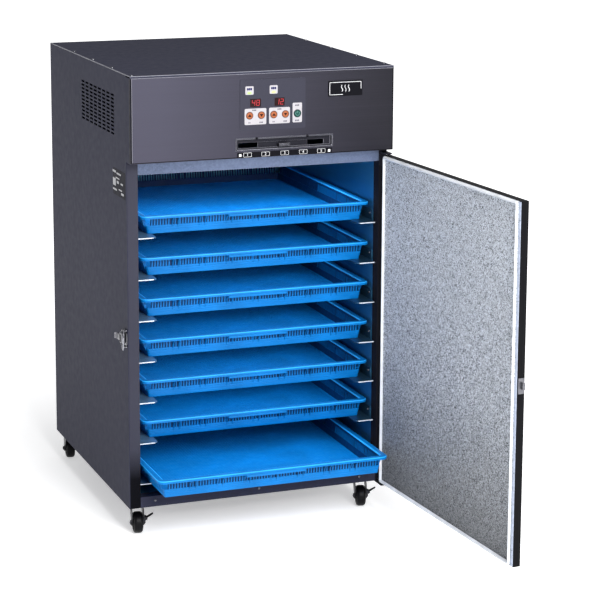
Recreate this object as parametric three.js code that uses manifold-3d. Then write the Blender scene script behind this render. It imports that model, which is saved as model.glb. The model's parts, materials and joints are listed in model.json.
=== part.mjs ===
// Electric tray dryer: a sheet-steel cabinet on swivel casters, with a control head, a hinged
// insulated door and seven plastic trays on rails. Millimetres, +Z up, front towards -Y, origin at
// the middle of the cabinet's underside. The door stands open and the lowest tray is pulled out.
import * as THREE from "three";
import { mergeVertices } from "three/addons/utils/BufferGeometryUtils.js";
import Module from "manifold-3d";

const wasm = await Module();
wasm.setup();

// ---- driving dimensions ------------------------------------------------------------------------
const SHEET = 1.5;               // sheet steel thickness
const GAP = 0.3;                 // clearance between touching pieces
const WIDTH = 628;
const DEPTH = 664;
const HEIGHT = 1000;
const HEAD_BOTTOM = 805;         // underside of the control head
const HEAD_OVERHANG = 35;        // how far the head stands in front of the body
const CHAMBER = { left: -288, right: 294.6, bottom: 25, top: 774, back: 306 };
const CHANNEL = 30;              // depth of the posts, the sill and the header
const TRAY = {
  count: 7, pitch: 95.8, width: 558, depth: 588, height: 43.2, wall: 3, rim: 4,
  inset: 16, corner: 16, centreX: 10, lowestCentreX: 0, front: 36, pulledOut: 152,
};
const RAIL = { top: 627.5, flange: 47.5, leg: 25, front: 12, rear: 300 };
const DOOR = {
  thickness: 17, standOff: 31, bottom: 3, top: 790.4, sideGap: 2, pivotFromEdge: 5,
  pivotFromFace: 7, openDegrees: 93.6, lip: 7, gasketWidth: 12, gasketHeight: 7,
};
const PIN_RADIUS = 4;
const BUTTON_CENTRE_Z = 900.7;
const BUTTONS = [
  ["temperature_up_button", -36.6, 8.3, 0xf08a3c],
  ["temperature_down_button", -8.6, 8.3, 0xf08a3c],
  ["timer_up_button", 21.1, 8.3, 0xf08a3c],
  ["timer_down_button", 49.0, 8.3, 0xf08a3c],
  ["power_button", 77.9, 8.8, 0x1d7d5d],
];
const WINDOWS = [
  ["temperature_display", -35.7, -9.3],
  ["timer_display", 22.6, 47.3],
];
const WINDOW_Z = [919.7, 938.8];
const OVERLAY = { left: -59.5, right: 97.3, bottom: 867, top: 982, thickness: 0.9 };
const DAMPER = {
  left: -69.6, right: 165.4, bottom: 821, top: 850, depth: 10, wall: 3,
  slot: { left: -61.4, right: 144.5, bottom: 826.6, top: 838.5 }, knobX: 46.5, knobWidth: 26,
};
const VENT = { columns: 8, rows: 11, pitchY: 35.7, pitchZ: 8.75, startY: -224.5, startZ: 854.5, slot: [27, 4.8] };
const FAN = { x: 0, y: 215, z: 882, radius: 92, width: 84, neck: [309, 328], wheelRadius: 62 };
const CASTER = { height: 73.6, wheelRadius: 25, wheelWidth: 22, trail: 18, x: 283, headRadius: 17 };
const LATCH = { bottom: 379, top: 419, pivot: [-319.5, -316], loopPivot: [-322, -304], loopReach: 62, tilt: 12 };

// ---- derived places ----------------------------------------------------------------------------
const HALF_WIDTH = WIDTH / 2;
const FRONT = -DEPTH / 2;
const BACK = DEPTH / 2;
const HEAD_FRONT = FRONT - HEAD_OVERHANG;
const INNER_SIDE = HALF_WIDTH - SHEET - GAP;
const CHANNEL_BACK = FRONT + CHANNEL;

// ---- materials ---------------------------------------------------------------------------------
const paint = (color, roughness, metalness) => new THREE.MeshStandardMaterial({ color, roughness, metalness });
const BODY_PAINT = [0x474752, 0.45, 0.35];
const HEAD_PAINT = [0x4f4b56, 0.4, 0.45];
const GALVANISED = [0xa6abb4, 0.4, 0.85];
const STAINLESS = [0x9aa2ad, 0.25, 0.95];
const ZINC = [0xb4b7ba, 0.35, 0.9];
const BLACK = [0x17171a, 0.55, 0.0];
const TRAY_BLUE = [0x0a72d8, 0.4, 0.0];
const WHITE = [0xe9edef, 0.6, 0.0];

// ---- geometry helpers --------------------------------------------------------------------------
/** Axis-aligned block between two corners. */
function block(x0, x1, y0, y1, z0, z1) {
  const geometry = new THREE.BoxGeometry(x1 - x0, y1 - y0, z1 - z0);
  return geometry.translate((x0 + x1) / 2, (y0 + y1) / 2, (z0 + z1) / 2);
}

/** Round bar along an axis ("x", "y" or "z") from a to b, centred on the other two coordinates. */
function bar(axis, radius, a, b, u, v, segments = 16) {
  const geometry = new THREE.CylinderGeometry(radius, radius, b - a, segments);
  const middle = (a + b) / 2;
  if (axis === "x") return geometry.rotateZ(Math.PI / 2).translate(middle, u, v);
  if (axis === "y") return geometry.translate(u, middle, v);
  return geometry.rotateX(Math.PI / 2).translate(u, v, middle);
}

/** Outline of a rectangle with round corners, centred on a point. */
function roundedOutline(Type, width, depth, radius, cx = 0, cy = 0) {
  const outline = new Type();
  const [hx, hy] = [width / 2 - radius, depth / 2 - radius];
  outline.moveTo(cx + hx + radius, cy - hy);
  outline.absarc(cx + hx, cy + hy, radius, 0, Math.PI / 2);
  outline.absarc(cx - hx, cy + hy, radius, Math.PI / 2, Math.PI);
  outline.absarc(cx - hx, cy - hy, radius, Math.PI, 1.5 * Math.PI);
  outline.absarc(cx + hx, cy - hy, radius, 1.5 * Math.PI, 2 * Math.PI);
  return outline;
}

/** Straight-sided plate of an outline, from z0 up to z1. */
function plate(shape, z0, z1, curveSegments = 3) {
  const geometry = new THREE.ExtrudeGeometry(shape, { depth: z1 - z0, bevelEnabled: false, curveSegments });
  return geometry.translate(0, 0, z0);
}

function toManifold(geometry) {
  const bare = geometry.clone();
  bare.deleteAttribute("normal");
  bare.deleteAttribute("uv");
  const merged = mergeVertices(bare, 1e-4);
  return new wasm.Manifold(new wasm.Mesh({
    numProp: 3,
    vertProperties: new Float32Array(merged.attributes.position.array),
    triVerts: new Uint32Array(merged.index.array),
  }));
}

function fromManifold(solid) {
  const { vertProperties, triVerts } = solid.getMesh();
  const geometry = new THREE.BufferGeometry();
  geometry.setAttribute("position", new THREE.BufferAttribute(new Float32Array(vertProperties), 3));
  geometry.setIndex(new THREE.BufferAttribute(new Uint32Array(triVerts), 1));
  return geometry;
}

/** One solid from overlapping pieces, less the pieces to take away. */
function fuse(pieces, holes = []) {
  const joined = pieces.map(toManifold).reduce((sum, piece) => sum.add(piece));
  return fromManifold(holes.map(toManifold).reduce((rest, hole) => rest.subtract(hole), joined));
}

const root = new THREE.Group();

function add(name, geometry, colour, parent = root) {
  const mesh = new THREE.Mesh(geometry, paint(...colour));
  mesh.name = name;
  parent.add(mesh);
  return mesh;
}

// ---- outer shell -------------------------------------------------------------------------------
/** Slots of the fan vent, cut through the sheet between x0 and x1. */
function ventSlots(x0, x1) {
  const slots = [];
  for (let column = 0; column < VENT.columns; column += 1) {
    for (let row = 0; row < VENT.rows; row += 1) {
      const y = VENT.startY + column * VENT.pitchY;
      const z = VENT.startZ + row * VENT.pitchZ;
      const [length, height] = VENT.slot;
      slots.push(block(x0, x1, y - length / 2, y + length / 2, z - height / 2, z + height / 2));
    }
  }
  return slots;
}

/** Side sheet with a fold under the top cover; side is -1 for left and +1 for right. */
function sidePanel(side, holes) {
  const outer = side * HALF_WIDTH;
  const inner = side * (HALF_WIDTH - SHEET);
  const fold = side * (HALF_WIDTH - 18);
  const top = HEIGHT - SHEET - GAP;
  const sheet = block(Math.min(outer, inner), Math.max(outer, inner), FRONT, BACK, 0, top);
  const flange = block(Math.min(outer, fold), Math.max(outer, fold), FRONT + 2, BACK - 4, top - SHEET, top);
  return fuse([sheet, flange], holes);
}

function buildShell() {
  add("left_side_panel", sidePanel(-1, ventSlots(-HALF_WIDTH - 1, -HALF_WIDTH + SHEET + 1)), BODY_PAINT);
  add("right_side_panel", sidePanel(1, []), BODY_PAINT);

  const inlet = block(196.5, 243.5, BACK - 3, BACK + 1, 856.5, 883.5);
  const backSheet = block(-INNER_SIDE, INNER_SIDE, BACK - SHEET, BACK, 0, HEIGHT - SHEET - GAP);
  add("back_cover", fuse([backSheet], [inlet]), BODY_PAINT);

  const lid = block(-HALF_WIDTH, HALF_WIDTH, HEAD_FRONT, BACK, HEIGHT - SHEET, HEIGHT);
  const lidLip = block(-HALF_WIDTH, HALF_WIDTH, HEAD_FRONT, HEAD_FRONT + SHEET, HEIGHT - 4, HEIGHT);
  add("top_cover", fuse([lid, lidLip]), BODY_PAINT);

  const pan = block(-INNER_SIDE, INNER_SIDE, CHANNEL_BACK + GAP, BACK - SHEET - GAP, 0, CHAMBER.bottom - SHEET - GAP);
  const hollow = block(-INNER_SIDE + SHEET, INNER_SIDE - SHEET, CHANNEL_BACK + GAP + SHEET,
    BACK - 2 * SHEET - GAP, SHEET, CHAMBER.bottom);
  add("floor_pan", fuse([pan, ...casterMounts()], [hollow]), BODY_PAINT);
}

/** Front panel of the control head: a sheet folded back along its sides and underneath. */
function buildHeadFront() {
  const top = HEIGHT - 4 - GAP;
  const [behind, foldEnd] = [HEAD_FRONT + SHEET, FRONT - GAP];
  const pieces = [
    block(-HALF_WIDTH, HALF_WIDTH, HEAD_FRONT, behind, HEAD_BOTTOM, top),
    block(-HALF_WIDTH, -HALF_WIDTH + SHEET, HEAD_FRONT, foldEnd, HEAD_BOTTOM, top),
    block(HALF_WIDTH - SHEET, HALF_WIDTH, HEAD_FRONT, foldEnd, HEAD_BOTTOM, top),
    block(-HALF_WIDTH, HALF_WIDTH, HEAD_FRONT, foldEnd, HEAD_BOTTOM, HEAD_BOTTOM + SHEET),
  ];
  const [y0, y1] = [HEAD_FRONT - 1, behind + 1];
  const holes = [
    block(DAMPER.left, DAMPER.right, y0, y1, DAMPER.bottom, DAMPER.top),
    ...BUTTONS.map(([, x, radius]) => bar("y", radius + 0.6, y0, y1, x, BUTTON_CENTRE_Z)),
    ...WINDOWS.map(([, x0, x1]) => block(x0, x1, y0, y1, ...WINDOW_Z)),
  ];
  add("head_front_panel", fuse(pieces, holes), HEAD_PAINT);
}

// ---- drying chamber ----------------------------------------------------------------------------
/** Front post: a channel with its web facing forwards. */
function frontPost(x0, x1, chamberSideIsRight) {
  const [outerX, innerX] = chamberSideIsRight ? [x0, x1 - SHEET] : [x1 - SHEET, x0];
  const top = HEAD_BOTTOM - GAP;
  return fuse([
    block(x0, x1, FRONT, FRONT + SHEET, 0, top),
    block(outerX, outerX + SHEET, FRONT, FRONT + 20, 0, top),
    block(innerX, innerX + SHEET, FRONT, CHANNEL_BACK, 0, top),
  ]);
}

function buildChamber() {
  const { left, right, bottom, top, back } = CHAMBER;
  const [x0, x1] = [left + GAP, right - GAP];
  const wallFront = CHANNEL_BACK + GAP;
  const wallBack = back - GAP;
  add("left_post", frontPost(-INNER_SIDE, left, true), BODY_PAINT);
  add("right_post", frontPost(right, INNER_SIDE, false), BODY_PAINT);
  add("front_sill", fuse([
    block(x0, x1, FRONT, FRONT + SHEET, 0, bottom),
    block(x0, x1, FRONT, CHANNEL_BACK, bottom - SHEET, bottom),
  ]), BODY_PAINT);
  add("opening_header", fuse([
    block(x0, x1, FRONT, FRONT + SHEET, top, HEAD_BOTTOM - 2),
    block(x0, x1, FRONT, CHANNEL_BACK, top, top + SHEET),
  ]), GALVANISED);
  add("chamber_floor", block(x0, x1, wallFront, wallBack, bottom - SHEET, bottom), STAINLESS);
  add("chamber_ceiling", block(left - SHEET, right + SHEET, wallFront, wallBack, top + GAP, top + GAP + SHEET),
    STAINLESS);
  add("left_chamber_wall", block(left - SHEET, left, wallFront, wallBack, bottom + GAP, top), STAINLESS);
  add("right_chamber_wall", block(right, right + SHEET, wallFront, wallBack, bottom + GAP, top), STAINLESS);
  buildBaffle();
}

/** Rear wall of the chamber: rows of air slots, one row above each tray. */
function buildBaffle() {
  const { left, right, bottom, top, back } = CHAMBER;
  const slots = [];
  for (let level = 0; level < TRAY.count; level += 1) {
    const z = RAIL.top - level * TRAY.pitch + TRAY.height + 22;
    for (let column = 0; column < 6; column += 1) {
      const x = left + 51 + column * 96;
      slots.push(block(x - 32, x + 32, back - 1, back + SHEET + 1, z - 6, z + 6));
    }
  }
  add("air_baffle", fuse([block(left - SHEET, right + SHEET, back, back + SHEET, bottom + GAP, top)], slots),
    STAINLESS);
}

/** Seven angle rails on one side wall, tied together by an upright strip at the rear. */
function buildRack(name, wallX, direction) {
  const face = wallX + direction * GAP;
  const span = (width) => [Math.min(face, face + direction * width), Math.max(face, face + direction * width)];
  const front = FRONT + RAIL.front;
  const lowest = RAIL.top - (TRAY.count - 1) * TRAY.pitch;
  const pieces = [block(...span(SHEET), RAIL.rear - 20, RAIL.rear, lowest, RAIL.top + RAIL.leg)];
  for (let level = 0; level < TRAY.count; level += 1) {
    const z = RAIL.top - level * TRAY.pitch;
    pieces.push(block(...span(RAIL.flange), front, RAIL.rear, z - SHEET, z));
    pieces.push(block(...span(SHEET), front, RAIL.rear, z - SHEET, z + RAIL.leg));
  }
  add(name, fuse(pieces), GALVANISED);
}

/** Open plastic tray: flat floor, upright walls and a wide flat rim. Its underside is at z0. */
function trayGeometry(cx, front, z0) {
  const cy = front + TRAY.depth / 2;
  const [bodyWidth, bodyDepth] = [TRAY.width - 2 * TRAY.inset, TRAY.depth - 2 * TRAY.inset];
  const [clearWidth, clearDepth] = [bodyWidth - 2 * TRAY.wall, bodyDepth - 2 * TRAY.wall];
  const z1 = z0 + TRAY.height;
  const bodyCorner = 10;
  return fuse([
    plate(roundedOutline(THREE.Shape, TRAY.width, TRAY.depth, TRAY.corner, cx, cy), z1 - TRAY.rim, z1),
    plate(roundedOutline(THREE.Shape, bodyWidth, bodyDepth, bodyCorner, cx, cy), z0, z1 - TRAY.rim / 2),
  ], [
    plate(roundedOutline(THREE.Shape, clearWidth, clearDepth, bodyCorner - TRAY.wall, cx, cy), z0 + TRAY.wall, z1 + 1),
  ]);
}

function buildTrays() {
  for (let level = 0; level < TRAY.count; level += 1) {
    const lowest = level === TRAY.count - 1;
    const z0 = RAIL.top - level * TRAY.pitch + GAP;
    const front = FRONT + TRAY.front - (lowest ? TRAY.pulledOut : 0);
    const cx = lowest ? TRAY.lowestCentreX : TRAY.centreX;
    add(`tray_${level + 1}`, trayGeometry(cx, front, z0), TRAY_BLUE);
  }
}

// ---- control head ------------------------------------------------------------------------------
function buildControls() {
  const face = HEAD_FRONT - GAP;
  const overlayFront = face - OVERLAY.thickness;
  const [holeFront, holeBack] = [overlayFront - 1, face + 1];
  add("control_overlay", fuse(
    [block(OVERLAY.left, OVERLAY.right, overlayFront, face, OVERLAY.bottom, OVERLAY.top)],
    [
      ...BUTTONS.map(([, x, radius]) => bar("y", radius + 0.6, holeFront, holeBack, x, BUTTON_CENTRE_Z)),
      ...WINDOWS.map(([, x0, x1]) => block(x0, x1, holeFront, holeBack, ...WINDOW_Z)),
    ],
  ), [0x4b4a58, 0.5, 0.1]);

  const boardFront = HEAD_FRONT + 12;
  const standoffs = [OVERLAY.left + 6, OVERLAY.right - 6].flatMap((x) => [OVERLAY.bottom + 6, OVERLAY.top - 6]
    .map((z) => bar("y", 3, HEAD_FRONT + SHEET + GAP, boardFront + 1, x, z, 12)));
  add("control_board", fuse([
    block(OVERLAY.left, OVERLAY.right, boardFront, boardFront + 2, OVERLAY.bottom, OVERLAY.top),
    ...standoffs,
  ]), [0x2d6b3f, 0.6, 0.0]);

  for (const [name, x0, x1] of WINDOWS) {
    const [z0, z1] = WINDOW_Z;
    add(name, block(x0 + GAP, x1 - GAP, overlayFront, boardFront - GAP, z0 + GAP, z1 - GAP), [0x330608, 0.2, 0.0]);
  }
  for (const [name, x, radius, colour] of BUTTONS) {
    const cap = bar("y", radius, overlayFront - 1.2, face + 4, x, BUTTON_CENTRE_Z, 28);
    const stem = bar("y", 3, face + 3, boardFront - 2, x, BUTTON_CENTRE_Z, 12);
    add(name, fuse([cap, stem]), [colour, 0.45, 0.0]);
  }
}

/** Sliding air damper: a slotted recess in the head, and a shutter with a finger tab. */
function buildDamper() {
  const { left, right, bottom, top, depth, wall, slot } = DAMPER;
  const back = HEAD_FRONT + depth;
  add("damper_frame", fuse(
    [block(left + GAP, right - GAP, HEAD_FRONT, back, bottom + GAP, top - GAP)],
    [
      block(left + wall, right - wall, HEAD_FRONT - 1, back - wall, bottom + wall, top - wall),
      block(slot.left, slot.right, HEAD_FRONT, back + 1, slot.bottom, slot.top),
    ],
  ), [0x2b2930, 0.5, 0.3]);

  const half = DAMPER.knobWidth / 2;
  const tab = block(DAMPER.knobX - half, DAMPER.knobX + half, HEAD_FRONT - 5, back - wall - 2,
    slot.bottom + 1, slot.bottom + 9);
  const neck = block(DAMPER.knobX - half + 6, DAMPER.knobX + half - 6, HEAD_FRONT, back + 2,
    slot.bottom + 2, slot.bottom + 8);
  const shutter = block(DAMPER.knobX - 60, DAMPER.knobX + 60, back + 0.5, back + 2, bottom + 1, top - 1);
  add("damper_slide", fuse([tab, neck, shutter]), [0xa9abb2, 0.3, 0.9]);
}

/** Blower in the head: scroll housing over the rear air duct, cage wheel and motor. */
function buildFan() {
  const { x, y, z, radius, width, neck, wheelRadius } = FAN;
  const [x0, x1] = [x - width / 2, x + width / 2];
  const wall = 2;
  const bottom = CHAMBER.top + 4;
  add("fan_housing", fuse([
    bar("x", radius, x0, x1, y, z, 40),
    block(x0, x1, neck[0] - 70, neck[1], bottom, z),
  ], [
    bar("x", radius - wall, x0 + wall, x1 - wall, y, z, 40),
    block(x0 + wall, x1 - wall, neck[0], neck[1] - wall, bottom - 1, z),
    bar("x", 46, x0 - 1, x0 + wall + 1, y, z, 32),
    bar("x", 10, x1 - wall - 1, x1 + 1, y, z, 20),
  ]), GALVANISED);

  const blades = 16;
  const cage = [
    bar("x", wheelRadius, x1 - 14, x1 - 10, y, z, 32),
    bar("x", 9, x0 + 22, x1 - 12, y, z, 16),
  ];
  for (let i = 0; i < blades; i += 1) {
    const blade = block(x0 + 12, x1 - 12, -1, 1, wheelRadius - 14, wheelRadius - 1);
    cage.push(blade.rotateX((i / blades) * 2 * Math.PI).translate(0, y, z));
  }
  const shaftHole = bar("x", 4.4, x0 + 10, x1 + 1, y, z, 16);
  add("fan_wheel", fuse(cage, [shaftHole]), GALVANISED);

  add("fan_motor", fuse([
    bar("x", 4, x0 + 40, x1 + 20, y, z, 16),
    bar("x", 46, x1 + 3, x1 + 92, y, z, 28),
    block(x1 + 14, x1 + 82, y - 40, y + 40, CHAMBER.top + 2 * GAP + SHEET, z - 30),
  ]), [0x3a3d42, 0.6, 0.3]);
}

/** Sheathed element running up and down across the rear air duct, with its ends turned up. */
function buildHeater() {
  const [y, lowZ, highZ, pitch, runs] = [319, 668, 742, 44, 8];
  const path = new THREE.CurvePath();
  const at = (x, z) => new THREE.Vector3(x, y, z);
  const firstX = -((runs - 1) * pitch) / 2;
  let [x, up] = [firstX, false];
  path.add(new THREE.LineCurve3(at(x, highZ + 90), at(x, lowZ)));
  for (let run = 1; run < runs; run += 1) {
    const [z, bulge] = up ? [highZ, 30] : [lowZ, -30];
    path.add(new THREE.CubicBezierCurve3(at(x, z), at(x, z + bulge), at(x + pitch, z + bulge), at(x + pitch, z)));
    x += pitch;
    up = !up;
    const last = run === runs - 1;
    path.add(new THREE.LineCurve3(at(x, z), at(x, last ? highZ + 90 : up ? highZ : lowZ)));
  }
  const section = new THREE.Shape();
  section.absarc(0, 0, 4, 0, 2 * Math.PI);
  add("heater", new THREE.ExtrudeGeometry(section, { extrudePath: path, steps: 64, curveSegments: 3 }), ZINC);
}

function buildFittings() {
  const probeX = 210;
  add("temperature_probe", fuse([
    bar("z", 3, CHAMBER.top - 42, CHAMBER.top - GAP - 3, probeX, 150, 14),
    bar("z", 8, CHAMBER.top - GAP - 4, CHAMBER.top, probeX, 150, 18),
  ]), STAINLESS);

  add("power_inlet", fuse([
    block(197, 243, BACK - 24, BACK + 1, 857, 883),
    block(191, 249, BACK + GAP, BACK + 3, 852, 888),
  ], [
    block(203, 237, BACK - 18, BACK + 4, 861, 879),
  ]), BLACK);
}

// ---- hinges, door and latch --------------------------------------------------------------------
const DOOR_OUTER = FRONT - DOOR.standOff;
const PIVOT_X = HALF_WIDTH - DOOR.pivotFromEdge;
const PIVOT_Y = DOOR_OUTER + DOOR.pivotFromFace;

function buildHinges() {
  const [x0, x1] = [CHAMBER.right + 1, HALF_WIDTH - 0.5];
  const nose = PIVOT_Y - 8;
  const plateZ = DOOR.top + 3;
  add("upper_hinge_bracket", fuse([
    block(x0, x1, nose, FRONT - GAP, plateZ, plateZ + 3),
    block(x0, x1, FRONT - GAP - SHEET, FRONT - GAP, plateZ - 30, plateZ + 3),
    bar("z", PIN_RADIUS, plateZ - 14, plateZ + 1, PIVOT_X, PIVOT_Y, 24),
  ]), ZINC);
  add("lower_hinge_bracket", fuse([
    block(x0, x1, nose, CHANNEL_BACK, -GAP - 3, -GAP),
    bar("z", PIN_RADIUS, -GAP - 1, DOOR.bottom + 11, PIVOT_X, PIVOT_Y, 24),
  ]), ZINC);
}

/** Door pieces, drawn closed around the pivot, then turned open as one group. */
function buildDoor() {
  const group = new THREE.Group();
  group.position.set(PIVOT_X, PIVOT_Y, 0);
  group.rotation.z = THREE.MathUtils.degToRad(DOOR.openDegrees);
  root.add(group);

  const hingeEdge = DOOR.pivotFromEdge;
  const freeEdge = hingeEdge - (WIDTH - DOOR.sideGap);
  const outer = -DOOR.pivotFromFace;
  const inner = outer + DOOR.thickness;
  const { bottom, top, lip, gasketWidth, gasketHeight } = DOOR;
  const knuckle = 17;
  add("door_skin", fuse([
    fuse([block(freeEdge, hingeEdge, outer, inner, bottom, top)], [
      block(freeEdge + SHEET, hingeEdge - SHEET, outer + SHEET, inner - SHEET, bottom + SHEET, top - SHEET),
      block(freeEdge + lip, hingeEdge - lip, outer + SHEET, inner + 1, bottom + lip, top - lip),
    ]),
    block(hingeEdge - knuckle, hingeEdge, outer, inner, bottom, bottom + knuckle),
    block(hingeEdge - knuckle, hingeEdge, outer, inner, top - knuckle, top),
  ], [
    bar("z", PIN_RADIUS + 0.4, bottom - 1, bottom + 13, 0, 0, 24),
    bar("z", PIN_RADIUS + 0.4, top - 13, top + 1, 0, 0, 24),
  ]), [0x232228, 0.4, 0.4], group);

  // The seal's outer edge is set in from the free edge to leave the skin's lip showing there.
  const seal = { x0: freeEdge + 10, x1: hingeEdge - 5, z0: bottom + 1, z1: top - 1 };
  const field = {
    x0: seal.x0 + gasketWidth, x1: seal.x1 - gasketWidth, z0: seal.z0 + gasketWidth, z1: seal.z1 - gasketWidth,
  };
  const linerBack = inner + GAP;
  const linerFront = linerBack + SHEET;
  add("door_liner", block(seal.x0, seal.x1, linerBack, linerFront, seal.z0, seal.z1), GALVANISED, group);

  const [sealFront, sealBack] = [linerFront + GAP, linerFront + GAP + gasketHeight];
  add("door_gasket", fuse(
    [block(seal.x0, seal.x1, sealFront, sealBack, seal.z0, seal.z1)],
    [block(field.x0, field.x1, sealFront - 1, sealBack + 1, field.z0, field.z1)],
  ), WHITE, group);

  const hookZ = (LATCH.bottom + LATCH.top) / 2;
  const edge = freeEdge - GAP;
  add("door_strike", fuse([
    block(edge - SHEET, edge, outer + 1, inner - 1, hookZ - 17, hookZ + 17),
    block(edge - 8, edge - 1, outer + 6, outer + 9, hookZ - 7, hookZ + 7),
    block(edge - 8, edge - 6, outer + 3, outer + 9, hookZ - 7, hookZ + 7),
  ]), ZINC, group);
}

/** Draw latch on the left side: base, over-centre lever, and a loop tilted clear of the door. */
function buildLatch() {
  const { bottom, top, pivot, loopPivot, loopReach, tilt } = LATCH;
  const [px, py] = pivot;
  const plateX = -HALF_WIDTH - GAP;
  add("latch_base", fuse([
    block(plateX - SHEET, plateX, -328, -270, bottom, top),
    block(px - 3, plateX, py - 6, py + 6, bottom, bottom + 2),
    block(px - 3, plateX, py - 6, py + 6, top - 2, top),
    bar("z", 2, bottom + 1, top - 1, px, py, 16),
  ]), ZINC);

  const [leverLow, leverHigh] = [bottom + 8.5, top - 8.5];
  const [lx, ly] = loopPivot;
  add("latch_lever", fuse([
    bar("z", 3.3, leverLow, leverHigh, px, py, 16),
    block(lx - 3, px + 2.8, py, ly + 6, leverLow, leverHigh),
    block(lx - 3, lx - 1, ly, -272, leverLow + 2, leverHigh - 2),
    block(lx - 7, lx - 1, -274, -272, leverLow + 2, leverHigh - 2),
  ], [
    bar("z", 2.4, leverLow - 1, leverHigh + 1, px, py, 16),
    bar("z", 1.9, leverLow - 1, leverHigh + 1, lx, ly, 16),
  ]), ZINC);

  const loop = new THREE.Group();
  loop.position.set(lx, ly, 0);
  loop.rotation.z = -THREE.MathUtils.degToRad(tilt);
  root.add(loop);
  const wire = 1.5;
  const [lowArm, highArm] = [leverLow - 3, leverHigh + 3];
  add("latch_loop", fuse([
    bar("z", wire, lowArm, highArm, 0, 0, 14),
    bar("z", wire, lowArm, highArm, 0, -loopReach, 14),
    bar("y", wire, -loopReach - 1, 1, 0, lowArm, 14),
    bar("y", wire, -loopReach - 1, 1, 0, highArm, 14),
  ]), ZINC, loop);
}

// ---- casters -----------------------------------------------------------------------------------
const CASTER_MOUNT = 8;          // drop from the underside to the swivelling head
const CASTERS = [
  { name: "front_left", x: -280, y: -270, turn: 171, brake: true },
  { name: "front_right", x: 280, y: -270, turn: 165, brake: true },
  { name: "rear_left", x: -285, y: 304, turn: -8, brake: false },
  { name: "rear_right", x: 285, y: 304, turn: -8, brake: false },
];

/** Mounting pad and king-pin housing of each caster, welded under the floor pan. */
function casterMounts() {
  const half = 18;
  return CASTERS.flatMap(({ x, y }) => [
    block(x - half, x + half, y - half - 4, y + half + 4, -2.5, 1),
    bar("z", 12, -CASTER_MOUNT, 0, x, y, 20),
  ]);
}

/** Fork leg: side plate from the swivelling head down to the axle, in the fork's own frame. */
function forkLeg(x0, x1, axleZ, headZ) {
  const profile = new THREE.Shape();
  profile.moveTo(-14, headZ);
  profile.lineTo(14, headZ);
  profile.lineTo(28, headZ - 14);
  profile.lineTo(30, headZ - 24);
  profile.lineTo(CASTER.trail + 8, axleZ - 4);
  profile.absarc(CASTER.trail, axleZ, 8, -0.5, Math.PI, true);
  profile.lineTo(-14, headZ - 8);
  profile.closePath();
  const geometry = new THREE.ExtrudeGeometry(profile, { depth: x1 - x0, bevelEnabled: false, curveSegments: 6 });
  // The profile's first axis is the trailing direction and its second is upwards.
  return geometry.rotateX(Math.PI / 2).rotateZ(Math.PI / 2).translate(x0, 0, 0);
}

function buildCaster({ name, x, y, turn, brake }) {
  const group = new THREE.Group();
  group.position.set(x, y, 0);
  group.rotation.z = THREE.MathUtils.degToRad(turn);
  root.add(group);

  const { height, wheelRadius, wheelWidth, trail, headRadius } = CASTER;
  const axleZ = wheelRadius - height;
  const headTop = -CASTER_MOUNT - GAP;
  const headZ = headTop - 5;
  const legInner = wheelWidth / 2 + 1.5;
  const pieces = [
    bar("z", headRadius, headZ, headTop, 0, 0, 28),
    block(-legInner - 2, legInner + 2, -14, 14, headZ - 1, headZ + 2),
    forkLeg(-legInner - 2, -legInner, axleZ, headZ),
    forkLeg(legInner, legInner + 2, axleZ, headZ),
    bar("x", 3, -legInner - 3, legInner + 3, trail, axleZ, 16),
    bar("x", 5.5, -legInner - 5, -legInner - 1, trail, axleZ, 6),
    bar("x", 5.5, legInner + 1, legInner + 5, trail, axleZ, 6),
  ];
  // A side brake pivots between two ears on the outer face of one fork leg.
  const ear = { x: -legInner - 6.5, z: axleZ + 9.5, half: 3.5, inner: 7.2, outer: 9.2 };
  if (brake) {
    const [earX, earZ] = [[ear.x - ear.half, -legInner - 1], [ear.z - ear.half, ear.z + ear.half]];
    pieces.push(
      block(...earX, trail - ear.outer, trail - ear.inner, ...earZ),
      block(...earX, trail + ear.inner, trail + ear.outer, ...earZ),
      bar("y", 1.6, trail - ear.outer, trail + ear.outer, ear.x, ear.z, 12),
    );
  }
  add(`${name}_caster_fork`, fuse(pieces), ZINC, group);

  const half = wheelWidth / 2;
  const tread = [
    [3.4, -half], [wheelRadius - 6, -half], [wheelRadius - 2, -half + 1], [wheelRadius, -half + 4],
    [wheelRadius, half - 4], [wheelRadius - 2, half - 1], [wheelRadius - 6, half], [3.4, half], [3.4, -half],
  ].map(([radius, along]) => new THREE.Vector2(radius, along));
  const wheel = new THREE.LatheGeometry(tread, 24).rotateZ(Math.PI / 2).translate(0, trail, axleZ);
  add(`${name}_caster_wheel`, fuse([wheel]), BLACK, group);

  if (!brake) return;
  const [camHalf, tabLength, tabRise] = [6.7, 19, 38];
  const tab = block(-tabLength, 0, trail - camHalf, trail + camHalf, -0.9, 0.9);
  add(`${name}_brake_pedal`, fuse([
    bar("y", 3.4, trail - camHalf, trail + camHalf, ear.x, ear.z, 16),
    tab.rotateY(THREE.MathUtils.degToRad(tabRise)).translate(ear.x, 0, ear.z),
  ], [
    bar("y", 2, trail - camHalf - 1, trail + camHalf + 1, ear.x, ear.z, 12),
  ]), BLACK, group);
}

buildShell();
buildHeadFront();
buildChamber();
buildRack("left_tray_rack", CHAMBER.left, 1);
buildRack("right_tray_rack", CHAMBER.right, -1);
buildTrays();
buildControls();
buildDamper();
buildFan();
buildHeater();
buildFittings();
buildHinges();
buildDoor();
buildLatch();
CASTERS.forEach(buildCaster);

export default root;
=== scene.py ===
"""Electric tray dryer: sheet-steel cabinet with a control head, open door and blue plastic trays."""
import json
import math
import random

import bmesh
import bpy
from mathutils import Matrix, Vector


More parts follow.
